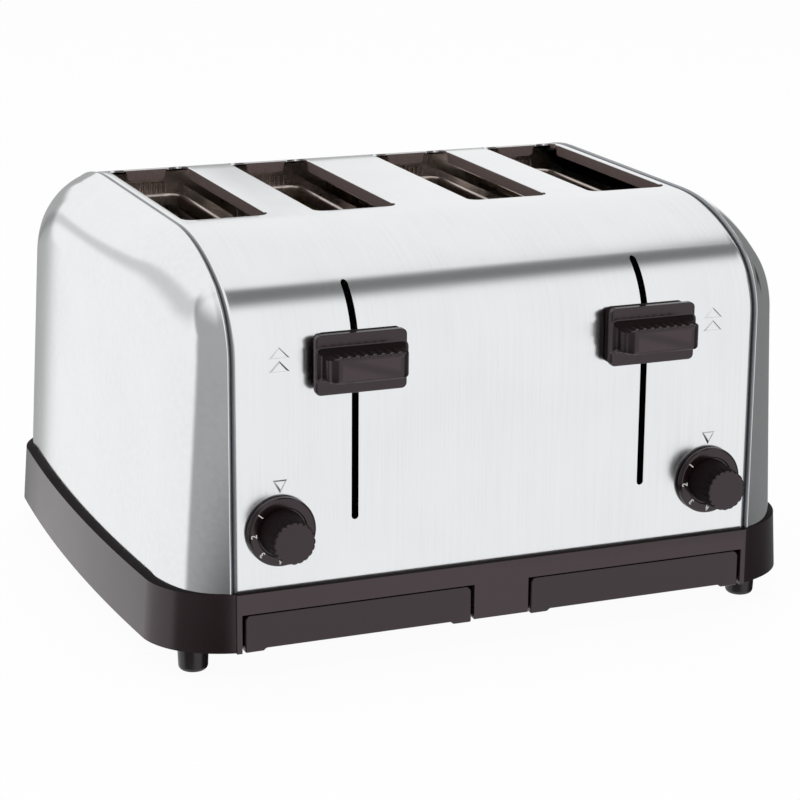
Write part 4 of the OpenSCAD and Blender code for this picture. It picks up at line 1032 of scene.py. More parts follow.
@dataclass
class BaseMoulding:
    """Dark moulded base: bowed skirt, ledge, fascia with two tray openings."""

    form: BodyForm
    end: EndPanel
    ledge: float = 3.3
    flare: float = 2.2
    wall: float = 2.5
    flange: float = 14.0
    corner_lip: float = 1.8
    fascia_lip: float = 3.0
    fascia_over: float = 2.0
    fascia_step: float = 1.2
    fascia_clear: float = 0.5
    tray_clear: float = 0.6
    tray_side: float = 1.5
    edge: float = 0.9
    shaded_ledge_slope: float = 0.5
    cut_over: float = 5.0
    cut_through: float = 6.0
    screw_head_r: float = 3.6
    post_r: float = 6.0
    post_lap: float = 1.0
    rib_half: float = 1.5
    corner_steps: int = 28
    bow_steps: int = 16

    @property
    def low_z(self) -> float:
        """Lower edge of the moulding."""
        return corner_mm("base_skirt", False).z

    def side_x(self, y: float, out: float, z: float) -> float:
        """Return the distance of the skirt from the middle of the toaster.

        Args:
            y: Place front to back.
            out: Distance outwards from the skirt.
            z: Height, towards whose lower end the sides spread.

        Returns:
            The place across, between the seam and the side.
        """
        form, end = self.form, self.end
        start = math.radians(end.rim_slope)
        half, run = self.half_depths(out)
        turn = math.acos(max(0.0, math.cos(start) - (half - abs(y - form.mid_y)) / (end.edge_r + out)))
        share = (math.sin(turn) - math.sin(start)) / (1 - math.sin(start))
        side_y = min(form.mid_y + run, max(form.mid_y - run, y))
        flare = self.flare * (form.base_z - z) / (form.base_z - self.low_z)
        bow = share ** end.bow_power * (end.face_x(y, form.base_z) - end.face_x(side_y, form.base_z))
        far = end.face_x(side_y, form.base_z) + bow + self.ledge + flare + out
        return form.seam_x + share * (far - form.seam_x)

    def half_depths(self, out: float) -> Flat:
        """Return half the depth of the skirt's plan, and half the length of its side between the corners."""
        form, end = self.form, self.end
        half = (form.back_y - form.front_y) / 2 + self.corner_lip + out
        return half, half - (end.edge_r + out) * math.cos(math.radians(end.rim_slope))

    def side_ys(self, out: float) -> list[float]:
        """Return the places front to back of the points along one side."""
        form, end = self.form, self.end
        half, run = self.half_depths(out)
        start = math.radians(end.rim_slope)
        turns = [math.radians(a) for a in spread(end.rim_slope, 90, self.corner_steps)]
        front = [form.mid_y - half + (end.edge_r + out) * (math.cos(start) - math.cos(t)) for t in turns]
        side = spread(form.mid_y - run, form.mid_y + run, self.bow_steps)[1:-1]
        return front + side + [2 * form.mid_y - y for y in reversed(front)]

    def plan(self, out: float, z: float, fascia: bool = False) -> list[Flat]:
        """Return the whole plan of the skirt at a height, counter-clockwise.

        Args:
            out: Distance outwards from the skirt.
            z: Height of the plan.
            fascia: Whether the front stands out as the fascia does.

        Returns:
            The outline in x and y.
        """
        form = self.form
        ys = self.side_ys(out)
        right = [(self.side_x(y, out, z), y) for y in ys]
        if fascia:
            end = form.seam_x + self.fascia_over
            clear = end + self.fascia_clear
            after = next(i for i, y in enumerate(ys) if self.side_x(y, out, form.base_z) > clear)
            a, b = right[after - 1], right[after]
            y = a[1] + (b[1] - a[1]) * (end - a[0]) / (b[0] - a[0])
            right = [(end, form.front_y - self.fascia_lip), (end, y)] + right[after:]
        return right + [(-x, y) for x, y in reversed(right)]

    def flared(self, out: float, low: float, high: float, fascia: bool = False) -> bpy.types.Object:
        """Return the solid of the skirt's plan between two heights."""
        skin = Skin()
        skin.tube([[(x, y, z) for x, y in self.plan(out, z, fascia)] for z in (low, high)])
        return skin.piece("base_moulding")

    def front_block(self, left: float, right: float, top: float) -> bpy.types.Object:
        """Return a block through the fascia, open below, between two places across."""
        low = self.low_z - self.cut_over
        outline = [(left, low), (right, low), (right, top), (left, top)]
        front = -self.form.front_y
        return front_prism("front_opening", outline, front - self.cut_through, front + self.cut_through)

    def build(self) -> None:
        """Make the base and dress it."""
        form = self.form
        base = self.flared(0.0, self.low_z, form.base_z, fascia=True)
        hollow = [self.flared(-self.wall, self.low_z - self.cut_over, form.base_z - self.wall),
                  self.flared(-self.flange, form.base_z - 2 * self.wall, form.base_z + self.cut_over)]
        left, right = (span_mm(f"{side.word}_tray_front") for side in Side)
        openings = [self.front_block(low.x - self.tray_side, high.x + self.tray_side,
                                     high.z + self.tray_clear) for low, high in (left, right)]
        openings.append(self.front_block(left[1].x, right[0].x, self.low_z + self.fascia_step))
        cut(base, hollow + openings)
        soften(base, self.edge)
        base = join([base] + self.posts(), "base_moulding")
        dress(base, MOULDED_ABS, "housing", ["base_skirt"])
        # Painted shade: the upward faces of the ledge get the dull, dark ABS.
        ledge_z = (form.base_z - self.edge) * MM
        refinish(base, DULL_ABS_PAINTED_SHADE, lambda face: (
            face.center.z > ledge_z and face.normal.z > self.shaded_ledge_slope))

    def posts(self) -> list[bpy.types.Object]:
        """Return the four screw posts inside the skirt, each with its rib to the wall."""
        low, high = span_mm("foot_screws")
        head_r, post_r, rib = self.screw_head_r, self.post_r, self.rib_half
        floor_z, plate_z = corner_mm("chassis_floor", False).z, corner_mm("bottom_plate", True).z
        profile = [(SCREW_R, plate_z), (post_r, plate_z), (post_r, floor_z), (SCREW_R, floor_z),
                   (SCREW_R, plate_z)]
        made = []
        for x in (low.x + head_r, high.x - head_r):
            for y in (low.y + head_r, high.y - head_r):
                skin = Skin()
                skin.lathe(profile, lambda u, v, d, x=x, y=y: (x + u, y + v, d), 32)
                wall_x = math.copysign(self.side_x(y, 0.0, self.form.base_z), x)
                near, far = sorted((x + math.copysign(post_r - self.post_lap, x), wall_x))
                outline = [(near, y - rib), (far, y - rib), (far, y + rib), (near, y + rib)]
                skin.prism(outline, on_floor, plate_z, floor_z)
                post = skin.piece("post")
                smooth(post)
                made.append(post)
        return made


@dataclass
class CrumbTray:
    """Crumb tray: a moulded front and a folded pan with a hemmed rim."""

    side: Side
    corner: float = 3.0
    foot: float = 9.0
    step: float = 1.2
    edge: float = 0.7
    fold_r: float = 2.0
    sheet: float = 1.0
    hem: float = 1.6
    pan_corner: float = 4.0
    least_corner: float = 0.6

    def front(self) -> None:
        """Make the moulded front, which is stepped below between its two ends."""
        low, high = span_mm(f"{self.side.word}_tray_front")
        c, foot, step = self.corner, self.foot, self.step
        outline = [(high.x, low.z)]
        outline += arc((high.x - c, high.z - c), c, 0, 90, 8) + arc((low.x + c, high.z - c), c, 90, 180, 8)
        outline += [(low.x, low.z), (low.x + foot, low.z), (low.x + foot + step, low.z + step),
                    (high.x - foot - step, low.z + step), (high.x - foot, low.z)]
        made = front_prism(f"{self.side.word}_tray_face", outline, -high.y, -low.y)
        soften(made, self.edge)
        dress(made, MOULDED_ABS, f"{self.side.word}_tray", [f"{self.side.word}_tray_front"])

    def pan(self) -> None:
        """Make the folded pan as one skin with rounded folds and a rim turned inwards."""
        low, high = span_mm(f"{self.side.word}_tray_pan")
        middle = (low + high) / 2
        width, length = high.x - low.x, high.y - low.y
        section = [(self.fold_r - run, low.z + rise) for run, rise in quarter(self.fold_r, 6)]
        section += [(0.0, high.z - self.hem / 2), (self.hem / 4, high.z), (self.hem, high.z - self.hem / 4)]
        rows = []
        for inset, z in section:
            corner = max(self.least_corner, self.pan_corner - inset)
            loop = rounded(width - 2 * inset, length - 2 * inset, corner)
            rows.append([(middle.x + u, middle.y + v, z) for u, v in loop])
        skin = Skin()
        skin.grid(rows, close_columns=True)
        skin.cap(rows[0][::-1])
        made = skin.piece(f"{self.side.word}_crumb_pan", closed=False)
        thicken(made, self.sheet)
        smooth(made, 40)
        dress(made, ZINC_PLATED, f"{self.side.word}_tray", [f"{self.side.word}_tray_pan"])

    def build(self) -> None:
        """Make both pieces of the tray."""
        self.front()
        self.pan()


@dataclass
class LeverHandle:
    """Lever handle: a plate, a grip that grows out of it in coves, ribs on the grip's top."""

    side: Side
    plate_w: float = 44.0
    plate_h: float = 28.0
    plate_t: float = 4.0
    plate_corner: float = 2.6
    collar_w: float = 40.5
    collar_off: float = 1.25
    collar_lower: float = 0.8
    collar_lap: float = 0.4
    grip_w: float = 39.0
    grip_h: float = 11.5
    grip_reach: float = 12.5
    grip_corner: float = 1.2
    grip_lap: float = 0.5
    least_corner: float = 0.4
    cove: float = 3.0
    cove_round: float = 0.6
    nose: float = 1.1
    nose_trim: float = 0.15
    end_r: float = 5.5
    ribs: int = 8
    rib_r: float = 1.5
    rib_proud: float = 0.8
    rib_from: float = 0.8
    rib_margin: float = 1.2
    edge: float = 0.9
    shaded_face_slack: float = 0.1
    shaded_face_slope: float = 0.15

    @property
    def node(self) -> str:
        """Node that the handle stands for."""
        return f"{self.side.word}_lever_handle"

    @property
    def middle(self) -> Vector:
        """Middle of the plate and grip in x and z, at the grip's front."""
        middle = middle_mm(self.node)
        middle.y = corner_mm(self.node, False).y
        return middle

    @property
    def root(self) -> float:
        """Depth of the plate's face, where the grip starts, counted towards the front."""
        return -self.middle.y - self.grip_reach

    def block(self, width: float, height: float, off: float, low: float, high: float) -> bpy.types.Object:
        """Return a block with round corners behind the grip.

        Args:
            width: Its width.
            height: Its height.
            off: Distance of its middle from the grip's, across.
            low: Depth of its back.
            high: Depth of its face.

        Returns:
            The new block.
        """
        m = self.middle
        outline = [(m.x + off + u, m.z + v) for u, v in rounded(width, height, self.plate_corner)]
        return front_prism("plate", outline, low, high)

    def plate(self) -> bpy.types.Object:
        """Return the plate with the collar behind it that runs along the lever slit."""
        rear = self.root - self.plate_t
        made = self.block(self.plate_w, self.plate_h, 0.0, rear, self.root)
        soften(made, self.edge)
        back, off = -corner_mm(self.node, True).y, -self.side.value * self.collar_off
        tall = self.plate_h - self.collar_lower
        behind = self.block(self.collar_w, tall, off, back, rear + self.collar_lap)
        smooth(behind)
        return join([made, behind], "plate")

    def grip(self) -> bpy.types.Object:
        """Return the grip as sections from its coved root to its rounded nose."""
        m, root = self.middle, self.root
        coves = [(self.cove - run, rise) for run, rise in quarter(self.cove, 8)]
        sizes = [(grow, grow, out) for grow, out in [(self.cove, -self.grip_lap)] + coves]
        for run, fall in quarter(self.end_r, 14):
            out = self.grip_reach - self.end_r + run
            late = max(0.0, out - self.grip_reach + self.nose) / self.nose
            sizes.append((-fall, -self.nose * (1 - math.sqrt(max(0.0, 1 - late ** 2))), out))
        sizes += [(-self.end_r - self.nose_trim, -self.nose - self.nose_trim, self.grip_reach)]
        rows = []
        for wide, tall, out in sizes:
            corner = self.grip_corner + max(0.0, tall) * self.cove_round + min(0.0, tall / 2)
            loop = rounded(self.grip_w + 2 * wide, self.grip_h + 2 * tall, max(self.least_corner, corner), 5)
            rows.append([on_front(m.x + u, m.z + v, root + out) for u, v in loop])
        skin = Skin()
        skin.tube(rows)
        made = skin.piece("grip")
        smooth(made, 38)
        return made

    def rib(self, x: float) -> bpy.types.Object:
        """Return one rib on the grip's top, with rounded ends."""
        root = self.root
        top = self.middle.z + self.grip_h / 2 - self.rib_r + self.rib_proud
        start, stop = self.cove * self.rib_from, self.grip_reach - self.nose_trim
        profile = [(run, start + rise) for run, rise in quarter(self.rib_r, 4)]
        profile += [(r, start + stop - out) for r, out in reversed(profile)]
        skin = Skin()
        skin.lathe(profile, lambda u, v, d: (x + u, -(root + d), top + v), 16)
        made = skin.piece("rib")
        smooth(made, 60)
        return made

    def build(self) -> None:
        """Make the handle and dress it."""
        pitch = (self.grip_w - self.rib_margin * self.end_r) / self.ribs
        xs = [self.middle.x + (i - (self.ribs - 1) / 2) * pitch for i in range(self.ribs)]
        pieces = [self.plate(), self.grip()] + [self.rib(x) for x in xs]
        made = join(pieces, f"{self.side.word}_lever_grip")
        dress(made, MOULDED_ABS, f"{self.side.word}_lever", [self.node])
        # Painted shade: the back of the plate and the upward faces of the grip get the dull, dark ABS.
        rear = (self.plate_t - self.root) * MM
        front, back = (self.middle.y + self.rib_r) * MM, -(self.root + self.shaded_face_slack) * MM
        refinish(made, DULL_ABS_PAINTED_SHADE, lambda face: face.center.y > rear or (
            front < face.center.y < back and face.normal.z > self.shaded_face_slope))


@dataclass
class BrowningKnob:
    """Browning knob: a numbered dial with a tapered, fluted barrel."""

    form: BodyForm
    side: Side
    dial_r: float = 16.5
    dial_gap: float = 0.8
    dial_t: float = 3.0
    bevel: float = 1.6
    waist_r: float = 10.7
    barrel_r: float = 10.05
    barrel_l: float = 16.8
    barrel_edge: float = 1.0
    barrel_cap: float = 2.0
    barrel_from: float = 0.04
    flutes: int = 20
    flute_points: int = 10
    flute_deep: float = 0.5
    flute_band: float = 1.5
    flute_start: float = 8.0
    flute_full: float = 14.0
    groove: float = 0.5
    groove_out: Point = (1.4, 0.9, 0.3)
    back_edge: float = 0.6
    shaded_face_from: float = 0.2
    shaded_face_slope: float = 0.6
    numbers: int = 6
    first_angle: float = 50.0
    number_step: float = 42.0
    number_r: float = 13.6
    number_size: float = 3.92
    number_bold: float = 0.06
    ink: float = 0.05

    @property
    def dial_face(self) -> float:
        """Distance of the dial's face from the front panel."""
        return self.dial_gap + self.dial_t

    def fluted(self, radius: float, depth: float, angle: float) -> float:
        """Return the barrel's radius at an angle, cut back by its flutes towards the front."""
        start, full = (self.dial_face + v for v in (self.flute_start, self.flute_full))
        if depth <= start or radius < self.barrel_r - self.flute_band:
            return radius
        share = min(1.0, (depth - start) / (full - start))
        wave = abs(math.cos(math.radians(angle) * self.flutes / 2))
        return radius - self.flute_deep * share * (1 - wave) ** 2

    def profile(self) -> list[Flat]:
        """Return the knob's profile as radius and distance from the front panel."""
        back, face, edge = self.dial_gap, self.dial_face, self.barrel_edge
        front = face + self.barrel_l
        rear = [(0.0, back), (self.dial_r - self.back_edge, back), (self.dial_r, back + self.back_edge)]
        rim = arc((self.dial_r - self.bevel, face - self.bevel), self.bevel, 0, 90, 8)
        outs = [self.waist_r + out for out in self.groove_out]
        groove = [(outs[0], face), (outs[1], face - self.groove), (outs[2], face - self.groove),
                  (self.waist_r, face)]
        side = [(self.waist_r + (self.barrel_r - self.waist_r) * s, face + (self.barrel_l - edge) * s)
                for s in spread(self.barrel_from, 1, 16)]
        nose = arc((self.barrel_r - edge, front - edge), edge, 0, 90, 5)
        return rear + rim + groove + side + nose[1:] + [(self.barrel_r - self.barrel_cap, front)]

    def knob(self) -> None:
        """Make the moulding of dial and barrel."""
        x, z = WrapShell.shaft_place(self.side)
        front, points = self.form.front_y, self.flutes * self.flute_points
        skin = Skin()
        profile = self.profile()
        skin.lathe(profile, lambda u, v, d: (x + u, front - d, z + v), points, self.fluted)
        radius, depth = profile[-1]
        skin.cap([(u, front - depth, v) for u, v in arc((x, z), radius, 0, 360, points)[:-1]])
        made = skin.piece(f"{self.side.word}_browning_knob")
        smooth(made, 40)
        dress(made, MOULDED_ABS, f"{self.side.word}_knob", [f"{self.side.word}_knob"])
        # Painted shade: the sides of the barrel get the dull, dark ABS.
        dial = (front - self.dial_face - self.shaded_face_from) * MM
        refinish(made, DULL_ABS_PAINTED_SHADE, lambda face: (
            abs(face.normal.y) < self.shaded_face_slope and face.center.y < dial))

    def scale(self) -> None:
        """Print the numbers round the dial, their tops outwards."""
        x, z = WrapShell.shaft_place(self.side)
        face = self.form.front_y - self.dial_face
        pieces = []
        for i in range(self.numbers):
            curve = bpy.data.curves.new("number", "FONT")
            curve.body = str(i + 1)
            curve.size = self.number_size * MM
            curve.align_x = "CENTER"
            curve.align_y = "CENTER"
            curve.offset = self.number_bold * MM
            curve.extrude = self.ink / 2 * MM
            curve.resolution_u = 6
            letter = bpy.data.objects.new("number", curve)
            bpy.context.scene.collection.objects.link(letter)
            depsgraph = bpy.context.evaluated_depsgraph_get()
            data = bpy.data.meshes.new_from_object(letter.evaluated_get(depsgraph))
            angle = math.radians(self.first_angle + i * self.number_step)
            out, up = self.number_r * math.sin(angle), self.number_r * math.cos(angle)
            spot = Vector((x - out, face, z + up)) * MM
            data.transform(Matrix.Translation(spot) @ Matrix.Rotation(-angle, 4, "Y")
                           @ Matrix.Rotation(math.pi / 2, 4, "X"))
            bpy.data.objects.remove(letter)
            bpy.data.curves.remove(curve)
            made = bpy.data.objects.new("number", data)
            bpy.context.scene.collection.objects.link(made)
            pieces.append(made)
        printed = join(pieces, f"{self.side.word}_dial_numbers")
        dress(printed, PRINTED_INK, f"{self.side.word}_knob")

    def build(self) -> None:
        """Make the knob and its numbers."""
        self.knob()
        self.scale()


@dataclass
class Feet:
    """Four moulded rubber feet, hollowed for their screws."""

    radius: float = 7.5
    taper: float = 0.5
    round_r: float = 2.4
    socket_r: float = 4.0
    socket_deep: float = 6.0
    socket_edge: float = 0.4
    top_edge: float = 0.6

    def build(self) -> None:
        """Make the feet as one piece and dress it."""
        low, high = span_mm("feet")
        skin = Skin()
        small = self.radius - self.taper
        socket, deep, edge = self.socket_r, self.socket_deep, self.socket_edge
        profile = [(SCREW_R, high.z), (SCREW_R, deep), (socket, deep), (socket, edge), (socket + edge, 0.0)]
        profile += arc((small - self.round_r, self.round_r), self.round_r, 270, 360, 6)
        profile += [(self.radius, high.z - self.top_edge), (self.radius - self.top_edge, high.z),
                    (SCREW_R, high.z)]
        for x in (low.x + self.radius, high.x - self.radius):
            for y in (low.y + self.radius, high.y - self.radius):
                skin.lathe(profile, lambda u, v, d, x=x, y=y: (x + u, y + v, d), 48)
        made = skin.piece("rubber_feet")
        smooth(made, 45)
        dress(made, MOULDED_RUBBER, "housing", ["feet"])


@dataclass
class SlotChute:
    """Plate under a pair of slots: each opening has a rolled bead and a lip turned down."""

    wrap: WrapShell
    side: Side
    opening_w: float = 31.0
    opening_l: float = 128.0
    corner: float = 8.0
    bead_r: float = 1.5
    bead_turn: float = 150.0
    flat: float = 3.0
    lip: float = 5.0
    comb_pitch: float = 2.6
    comb_tall: float = 4.0
    comb_in: float = 4.0
    comb_size: Flat = (1.3, 1.6)
    comb_round: float = 0.4

    def build(self) -> None:
        """Make the plate with its two openings and dress it."""
        node = f"{self.side.word}_slot_chute"
        low, high = span_mm(node)
        mid_y = self.wrap.slot_mid_y
        xs = [x for x in self.wrap.slot_xs if x * self.side.value > 0]
        edges = [low.x, sum(xs) / 2, high.x]
        skin = Skin()
        top = high.z
        section = [(-self.flat, 0.0), (-2 * self.bead_r, 0.0)]
        section += arc((-self.bead_r, 0.0), self.bead_r, self.bead_turn, 0, 8) + [(0.0, -self.lip)]
        for centre, x0, x1 in zip(xs, edges, edges[1:]):
            rows = []
            for inset, rise in section:
                width, length = self.opening_w - 2 * inset, self.opening_l - 2 * inset
                loop = rounded(width, length, self.corner - inset, 8)
                rows.append([(centre + u, mid_y + v, top + rise) for u, v in loop])
            outer = []
            for x, y, _ in rows[0]:
                u, v = x - centre, y - mid_y
                reach_x = x1 - centre if u > 0 else centre - x0
                reach_y = high.y - mid_y if v > 0 else mid_y - low.y
                grow = min(reach_x / max(abs(u), 1e-6), reach_y / max(abs(v), 1e-6))
                outer.append((centre + u * grow, mid_y + v * grow, top))
            skin.grid([outer] + rows, close_columns=True)
            self.comb(skin, centre, high.y - self.comb_in, top)
        made = skin.piece(f"{self.side.word}_chute_plate", closed=False)
        smooth(made, 50)
        dress(made, HEAT_DULLED_SHEET, "housing", [node])

    def comb(self, skin: Skin, centre: float, y: float, top: float) -> None:
        """Add the row of small upright ribs behind one opening."""
        count = int(self.opening_w / self.comb_pitch)
        outline = rounded(*self.comb_size, self.comb_round, 3)
        for i in range(count):
            x = centre + (i - (count - 1) / 2) * self.comb_pitch
            rib = [(x + u, y + v) for u, v in outline]
            skin.prism(rib, on_floor, top - self.comb_round, top + self.comb_tall)


@dataclass
class ReturnSpring:
    """Wound return spring that stretches between its tab and the carriage."""

    side: Side
    turns: int = 9
    rings: int = 20
    wire_r: float = 0.5
    wire_sides: int = 8

    def build(self) -> None:
        """Make the spring as one tube along its helix."""
        node = f"{self.side.word}_return_spring"
        low, high = span_mm(node)
        mean_r = (high.x - low.x) / 2 - self.wire_r
        x, y = (low.x + high.x) / 2, (low.y + high.y) / 2
        z0, z1 = low.z + self.wire_r, high.z - self.wire_r
        rows = []
        for i in range(self.turns * self.rings + 1):
            a = 2 * math.pi * i / self.rings
            z = z0 + (z1 - z0) * i / (self.turns * self.rings)
            row = []
            for b in spread(0, 2 * math.pi, self.wire_sides)[:-1]:
                r = mean_r + self.wire_r * math.cos(b)
                row.append((x + r * math.cos(a), y + r * math.sin(a), z + self.wire_r * math.sin(b)))
            rows.append(row)
        skin = Skin()
        skin.tube(rows)
        made = skin.piece(f"{self.side.word}_spring_wire")
        smooth(made, 60)
        made.data.materials.append(GROUND_ROD.material())
        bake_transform(made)
        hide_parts(node)
        LOG.info("%s: %d faces, stretches with its lever", made.name, len(made.data.polygons))


@dataclass
class BreadGuard:
    """Pair of wire guards in one slot, with round wires welded to two bars."""

    node: str
    bar_r: float = 1.25
    wire_r: float = 1.0
    end_share: float = 0.6
    pitch: float = 14.0
    guard_x: float = 16.0
    weld_mm: float = 0.0005

    def wire(self, skin: Skin, start: Vector, end: Vector, radius: float) -> None:
        """Add one straight wire with rounded ends."""
        turn = (end - start).to_track_quat("Z", "Y")
        length = (end - start).length
        profile = [(run, self.end_share * rise) for run, rise in quarter(radius, 3)]
        profile += [(r, length - d) for r, d in reversed(profile)]
        skin.lathe(profile, lambda u, v, d: tuple(start + turn @ Vector((u, v, d))), 12)

    def build(self) -> None:
        """Make both guards of the slot as one piece and dress it."""
        low, high = span_mm(self.node)
        centre, mid_y = (low.x + high.x) / 2, (low.y + high.y) / 2
        bars = (low.z + self.bar_r, high.z - self.bar_r)
        count = int((high.y - low.y - self.pitch) / self.pitch)
        skin = Skin()
        for x in (centre - self.guard_x, centre + self.guard_x):
            for z in bars:
                self.wire(skin, Vector((x, low.y, z)), Vector((x, high.y, z)), self.bar_r)
            for i in range(count + 1):
                y = mid_y + (i - count / 2) * self.pitch
                self.wire(skin, Vector((x, y, bars[0])), Vector((x, y, bars[1])), self.wire_r)
        made = skin.piece(f"{self.node}_wires", weld_mm=self.weld_mm)
        smooth(made, 60)
        dress(made, DRAWN_WIRE, "housing", [self.node])


@dataclass
class CordGland:
    """Rubber gland in the back panel, with a rounded flange and a sunken mouth."""

    bore_r: float = 4.0
    neck_r: float = 7.5
    flange_r: float = 12.0
    flange_t: float = 2.5
    edge_r: float = 1.4
    mouth_out: Point = (2.2, 1.8, 0.6)
    mouth_deep: float = 0.6
    bore_deep: float = 1.0

    def build(self) -> None:
        """Make the gland and dress it."""
        low, high = span_mm("cord_gland")
        x, z = (low.x + high.x) / 2, (low.z + high.z) / 2
        base = high.y - self.flange_t
        bore, face, edge = self.bore_r, self.flange_t, self.edge_r
        wide, middle, narrow = (bore + out for out in self.mouth_out)
        inner = low.y - base
        profile = [(bore, inner), (self.neck_r, inner), (self.neck_r, 0.0), (self.flange_r, 0.0)]
        profile += arc((self.flange_r - edge, face - edge), edge, 0, 90, 6)
        profile += [(wide, face), (middle, face - self.mouth_deep), (narrow, face - self.mouth_deep),
                    (bore, face - self.bore_deep), (bore, inner)]
        skin = Skin()
        skin.lathe(profile, lambda u, v, d: (x + u, base + d, z + v), 64)
        made = skin.piece("gland_bush")
        smooth(made, 40)
        dress(made, MOULDED_RUBBER, "housing", ["cord_gland"])


@dataclass(frozen=True)
class Band:
    """Range of values over which a card of the surround reaches, with soft edges.

    Attributes:
        low: Values at which the lower edge starts and is complete, below every angle where there is none.
        high: Values at which the upper edge starts and is complete, above every angle where there is none.
    """

    low: Flat = (-400.0, -399.0)
    high: Flat = (399.0, 400.0)

    def mask(self, tree: bpy.types.NodeTree, value: bpy.types.NodeSocket) -> bpy.types.NodeSocket:
        """Return how far a direction lies in the band.

        Args:
            tree: Tree of the surround.
            value: What the band is measured on, mostly an angle in degrees.

        Returns:
            1 in the band and 0 off it.
        """
        rise = add_node(tree, "ShaderNodeMapRange", {
            "Value": value, "From Min": self.low[0], "From Max": self.low[1]},
            interpolation_type="SMOOTHSTEP")
        fall = add_node(tree, "ShaderNodeMapRange", {
            "Value": value, "From Min": self.high[0], "From Max": self.high[1], "To Min": 1.0, "To Max": 0.0},
            interpolation_type="SMOOTHSTEP")
        both = add_node(tree, "ShaderNodeMath", {
            0: rise.outputs[0], 1: fall.outputs[0]}, operation="MULTIPLY")
        return both.outputs[0]


